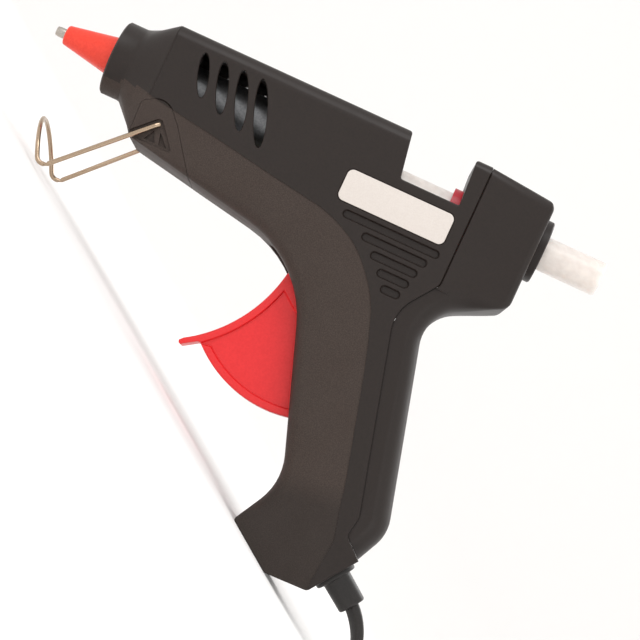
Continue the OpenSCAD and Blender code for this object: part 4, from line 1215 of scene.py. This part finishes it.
WIRE_R = 0.75
LEG_LEAN, LOOP_RISE, LOOP_R, LOOP_FLAT = radians(9.2), radians(30), 19.7, 0.93
LEG_Y = HALF_W + 0.25
WIRE_IN = 5.6
pivot_row = (GUN @ Vector((STAND_PIVOT[0], 0, STAND_PIVOT[1]))) * 1000
leg_drop = pivot_row.z - WIRE_R
foot_x = pivot_row.x - leg_drop * tan(LEG_LEAN)
leg_end = Vector((pivot_row.x, -LEG_Y + WIRE_IN, pivot_row.z))
leg_top = Vector((pivot_row.x, -LEG_Y, pivot_row.z))
leg_foot = Vector((foot_x, -LOOP_R, WIRE_R))
leg_mid = leg_top.lerp(leg_foot, 0.5)


def loop_point(degrees_round):
    """A place on the loop that joins the legs' feet, from the left leg."""
    a = radians(degrees_round)
    out = LOOP_R * LOOP_FLAT * sin(a)
    return Vector((foot_x - out * cos(LOOP_RISE), -LOOP_R * cos(a), WIRE_R + out * sin(LOOP_RISE)))


half_wire = (
    rounded_way([leg_end, leg_top, leg_mid], 1.2, 6)[:-1]
    + rounded_way([leg_mid, leg_foot, loop_point(24)], 5, 8)
    + [loop_point(a) for a in range(34, 90, 8)]
)
wire_way = half_wire + [Vector((p.x, -p.y, p.z)) for p in reversed(half_wire)]
wire_way, _ = even(wire_way, 0.9)
wire = grow(drawn_curve("wire_stand_bent", wire_way), wire_tree, {
    "Wire Radius": WIRE_R, "Sides": 20, "Material": nickel_wire,
})
finish_piece(wire, "stand", [], ROW, ("wire_stand",))

# ---- Trigger: a crowned finger face over a web with sunk sides, a hub and a two-armed fork ----

FACE_R, TRIGGER_R, TRIGGER_HALF, RIM = 47.6, 39.2, 7.0, 2.5
FORK_Y, FORK_T, FORK_L, HUB_R, ARM_R, STROKE = 9.6, 2.0, 37.0, 3.8, 3.6, 16
face_a, face_b = (tp[0] - 11.1, tp[1] + 2.5), (tp[0] - 32.2, tp[1] - 29.4)
chord = (face_b[0] - face_a[0], face_b[1] - face_a[1])
chord_l = sqrt(chord[0] ** 2 + chord[1] ** 2)
rise = sqrt(FACE_R**2 - (chord_l / 2) ** 2)
face_mid = (
    (face_a[0] + face_b[0]) / 2 + rise * chord[1] / chord_l,
    (face_a[1] + face_b[1]) / 2 - rise * chord[0] / chord_l,
)


def face_point(t, back=0.0):
    """A place along the finger face, or a length behind it."""
    a = atan2(face_a[1] - face_mid[1], face_a[0] - face_mid[0])
    b = atan2(face_b[1] - face_mid[1], face_b[0] - face_mid[0])
    angle = a + ((b - a + 3 * pi) % (2 * pi) - pi) * t
    return face_mid[0] + (FACE_R + back) * cos(angle), face_mid[1] + (FACE_R + back) * sin(angle)


LIP_ANGLE, GRIP_ANGLE = 226.5, 292


def arc_point(r, t):
    """A place on an arc about the trigger pin, from the lip to the grip."""
    angle = radians(LIP_ANGLE + (GRIP_ANGLE - LIP_ANGLE) * t)
    return tp[0] + r * cos(angle), tp[1] + r * sin(angle)


# Outline of the web: down its finger face, round the lip, along the rim and back by the hub
point = (face_b[0] - 1.1, face_b[1] - 2.3)
rim_from = arc_point(TRIGGER_R, 0)
web = (
    [(tp[0] - 9.4, tp[1] + 6.5, 0.3)]
    + [
        (*face_point(k / 24), 0.3 + 0.6 * min(1, 3 * k / 24) - (0.55 if k > 22 else 0))
        for k in range(25)
    ]
    + [(point[0] + u, point[1] + v, 0.3) for u, v in ((0, 1.1), (0.25, 0.3), (0.9, 0))]
    + [(rim_from[0] - 0.9, rim_from[1] - 0.3, 0.3)]
    + [(*arc_point(TRIGGER_R, k / 28), 0.3 if k < 2 else 0.6) for k in range(29)]
    + [(tp[0] + 6, tp[1] - 2, 0.4), (tp[0] + 4, tp[1] + 4, 0.4), (tp[0] - 4, tp[1] + 6.5, 0.3)]
)
sunk = from_side(
    [face_point(0.12 + 0.80 * k / 16, RIM) for k in range(17)]
    + [arc_point(TRIGGER_R - RIM, k / 16) for k in range(1, 17)]
    + [(tp[0] + 5, tp[1] - 9), (tp[0] - 4, tp[1] - 7)]
)
swing = atan2(STROKE / 2, FORK_L)


def up_fork(length):
    """A place along the fork, from the trigger pin."""
    return tp[0] + length * sin(swing), tp[1] + length * cos(swing)




def on_arms(points, near, far):
    """An outline through both of the fork's arms, between two depths from the middle."""
    return joined([prism(points, -far, -near), prism(points, near, far)])


WEB_SUNK, FORK_SLOT_R, TRIGGER_BORE_R = 1.0, 1.65, 2.05
fork_out = FORK_Y + FORK_T
trigger = thing("trigger_moulding", slab(web, TRIGGER_HALF, 4))
carve(trigger, prism(circle(tp, HUB_R, 48), -fork_out, fork_out), "UNION")
carve(trigger, on_arms(capsule(tp, up_fork(FORK_L + 0.9), ARM_R), FORK_Y, fork_out), "UNION")
carve(trigger, joined([
    prism_one(sunk, side, WEB_SUNK, RIM_BEVEL, TRIGGER_HALF) for side in (-1, 1)
]))
fork_slot = capsule(up_fork(FORK_L - 0.2), up_fork(FORK_L + 1.1), FORK_SLOT_R)
carve(trigger, on_arms(fork_slot, FORK_Y - 1, FORK_Y + 3))
carve(trigger, prism(circle(tp, TRIGGER_BORE_R), -20, 20))
finish_piece(trigger, "trigger", [red_abs], GUN, ("trigger",), sharp=40)

# ---- Return spring, between the shells' stop and the carriage's lug ----

SPRING_FROM, SPRING_TO, SPRING_V = 70.0, 93.0, -13
SPRING_R, SPRING_WIRE, SPRING_TURNS = 3.5, 0.8, 8
coil_r = SPRING_R - SPRING_WIRE / 2
spring_way = []
for k in range(SPRING_TURNS * 20 + 1):
    t = k / (SPRING_TURNS * 20)
    # The end turns lie close and the turns between them stand evenly apart
    middle = max(0, min(1, (t - 0.08) / 0.84))
    along = 0.12 * t + 0.88 * (0.35 * smooth_between(t, 0.06, 0.94) + 0.65 * middle)
    a = 2 * pi * SPRING_TURNS * t
    spring_way.append((
        SPRING_FROM + SPRING_WIRE / 2 + (SPRING_TO - SPRING_FROM - SPRING_WIRE) * along,
        coil_r * cos(a), SPRING_V + coil_r * sin(a),
    ))
spring = grow(drawn_curve("return_spring_coil", spring_way), wire_tree, {
    "Wire Radius": SPRING_WIRE / 2, "Sides": 10, "Material": zinc_steel,
})
finish_piece(spring, "housing", [], GUN, ("return_spring",), sharp=60)
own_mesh(spring)

# ---- Glue stick, label and screws ----

STICK_FRONT, STICK_REAR = 30, RING_REAR + 20.3
stick = thing("glue_stick_cast", lathe(
    [(STICK_FRONT, 3.4)] + arc(STICK_FRONT + 1.2, STICK_R - 1.2, 1.2, 170, 90, 5)
    + [(STICK_FRONT + 20, STICK_R), (80, STICK_R - 0.03), (120, STICK_R), (150, STICK_R - 0.04)]
    + arc(STICK_REAR - 0.5, STICK_R - 0.5, 0.5, 90, 0, 5)
    + [(STICK_REAR - 0.05, 4.2), (STICK_REAR - 0.2, 2.5), (STICK_REAR - 0.3, 0.8)], 72,
))
finish_piece(stick, "stick", [hot_melt], GUN, ("glue_stick",), sharp=50)

LABEL_PROUD = 0.12
label_face = HALF_W + LABEL_PROUD
label = thing("blank_label", skin([
    [(p[0], -y, p[1]) for p in inset(LABEL, by)] for y, by in [
        (HALF_W - LABEL_SEAT + 0.02, 0), (label_face - 0.06, 0), (label_face - 0.02, 0.03),
        (label_face, 0.12),
    ]
]))
finish_piece(label, "housing", [label_film], GUN, ("label",))


def cross_screw(name, shank_r, length, head_r, head_h):
    """A pan-head screw along Y with a cross recess, its head standing on the origin."""
    shank = [
        (-length, shank_r * 0.3), (-length + 1.2, shank_r * 0.9), (-length + 1.5, shank_r), (0, shank_r)
    ]
    crown = head_h * 0.5
    head = [(0, head_r - 0.1), (0.1, head_r), (crown, head_r)]
    head += arc(crown, head_r - crown, crown, 90, 25, 5) + [(head_h, head_r * 0.3)]
    made = thing(name, lathe(shank + head, 28))
    for wide, deep in ((0.55, 0.16), (0.16, 0.55)):
        cut = skin([
            [(x, s * head_r * wide, q * head_r * deep) for s, q in ((-k, -k), (k, -k), (k, k), (-k, k))]
            for x, k in ((head_h - 0.9, 0.6), (head_h + 0.5, 1.1))
        ])
        carve(made, cut)
    made.data.transform(Matrix.Rotation(pi / 2, 4, "Z"))
    return made


def points_at(name, places, y):
    """A mesh of loose points in the gun frame at one side's depth."""
    bm = bmesh.new()
    for u, v in places:
        bm.verts.new((u, y, v))
    return thing(name, bm)


SCREW_L, HEAD_H = 21, 2.0
shell_screw = cross_screw("shell_screw", SHANK_R, SCREW_L, HEAD_R, HEAD_H)
screws = grow(points_at("shell_screws", SCREWS, HALF_W - HEAD_SINK), fastener_tree, {
    "Fastener": shell_screw, "Seed": 3, "Material": zinc_steel,
})
bpy.data.objects.remove(shell_screw)
finish_piece(screws, "housing", [], GUN, ("housing_screws",), sharp=35)

# ---- Stage ----

NODE_FINISH = {
    zinc_steel: (
        "nozzle_ball", "nozzle_spring", "heater_wedge", "inlet_clamp", "grip_lever", "grip_pin",
        "trigger_pin", "clamp_screws",
    ),
    cast_aluminium: ("melt_chamber",),
    fired_ceramic: ("ptc_heater",),
    contact_brass: ("upper_electrode", "lower_electrode", "crimp_connectors"),
    amber_film: ("heater_film",),
    red_silicone: ("inlet_sleeve",),
    brown_pvc: ("live_wire",),
    blue_pvc: ("neutral_wire",),
    glass_weave: ("heat_sleeves",),
    carriage_acetal: ("feed_carriage",),
    satin_abs: ("cord_clamp",),
}
for finish, names in NODE_FINISH.items():
    for name in names:
        nodes[name].data.materials.clear()
        nodes[name].data.materials.append(finish)

# Floor that runs up into a wall in one curve
FLOOR_FRONT, FLOOR_SIDE, WALL_AT, COVE_R, WALL_TOP, PAPER_T = -12.0, 8.0, 2.4, 0.8, 4.0, 0.01
rises = [pi / 2 * k / 24 for k in range(25)]
cove = [(FLOOR_FRONT, 0)] + [
    (WALL_AT - COVE_R + COVE_R * sin(a), COVE_R - COVE_R * cos(a)) for a in rises
] + [(WALL_AT, WALL_TOP)]
outline = cove + [(y + PAPER_T, z - PAPER_T) for y, z in reversed(cove)]
backdrop = thing("backdrop", skin([
    [(x, y, z) for y, z in outline] for x in (-FLOOR_SIDE, FLOOR_SIDE)
]))
backdrop.data.shade_smooth()
backdrop_finish, tree = new_material("matt_paper")
paper = add(tree, "ShaderNodeBsdfPrincipled", values={
    "Base Color": srgb("#fbfaf9"), "Roughness": 1.0, "Specular IOR Level": 0.0,
})
add(tree, "ShaderNodeOutputMaterial", {"Surface": (paper, "BSDF")})
backdrop.data.materials.append(backdrop_finish)

world = bpy.data.worlds.new("studio")
bpy.context.scene.world = world
world.use_nodes = True
world.node_tree.nodes["Background"].inputs["Color"].default_value = srgb("#fffefd")
world.node_tree.nodes["Background"].inputs["Strength"].default_value = 0.98
bpy.context.scene.view_settings.view_transform = "Standard"


LIT_AT = Vector((-0.05, 0, 0.06))


def soft_box(name, at, size, power):
    """A square area light at a place, facing the middle of the object."""
    light = bpy.data.lights.new(name, "AREA")
    light.shape, light.size, light.energy = "SQUARE", size, power
    made = bpy.data.objects.new(name, light)
    facing = (LIT_AT - Vector(at)).to_track_quat("-Z", "Y").to_matrix().to_4x4()
    made.matrix_world = Matrix.Translation(at) @ facing
    bpy.context.scene.collection.objects.link(made)


soft_box("key", (-0.9, -1.0, 1.2), 0.9, 9)
soft_box("fill", (1.0, -0.9, 0.6), 0.9, 2)
soft_box("rim", (0.3, 0.9, 1.1), 0.7, 4)
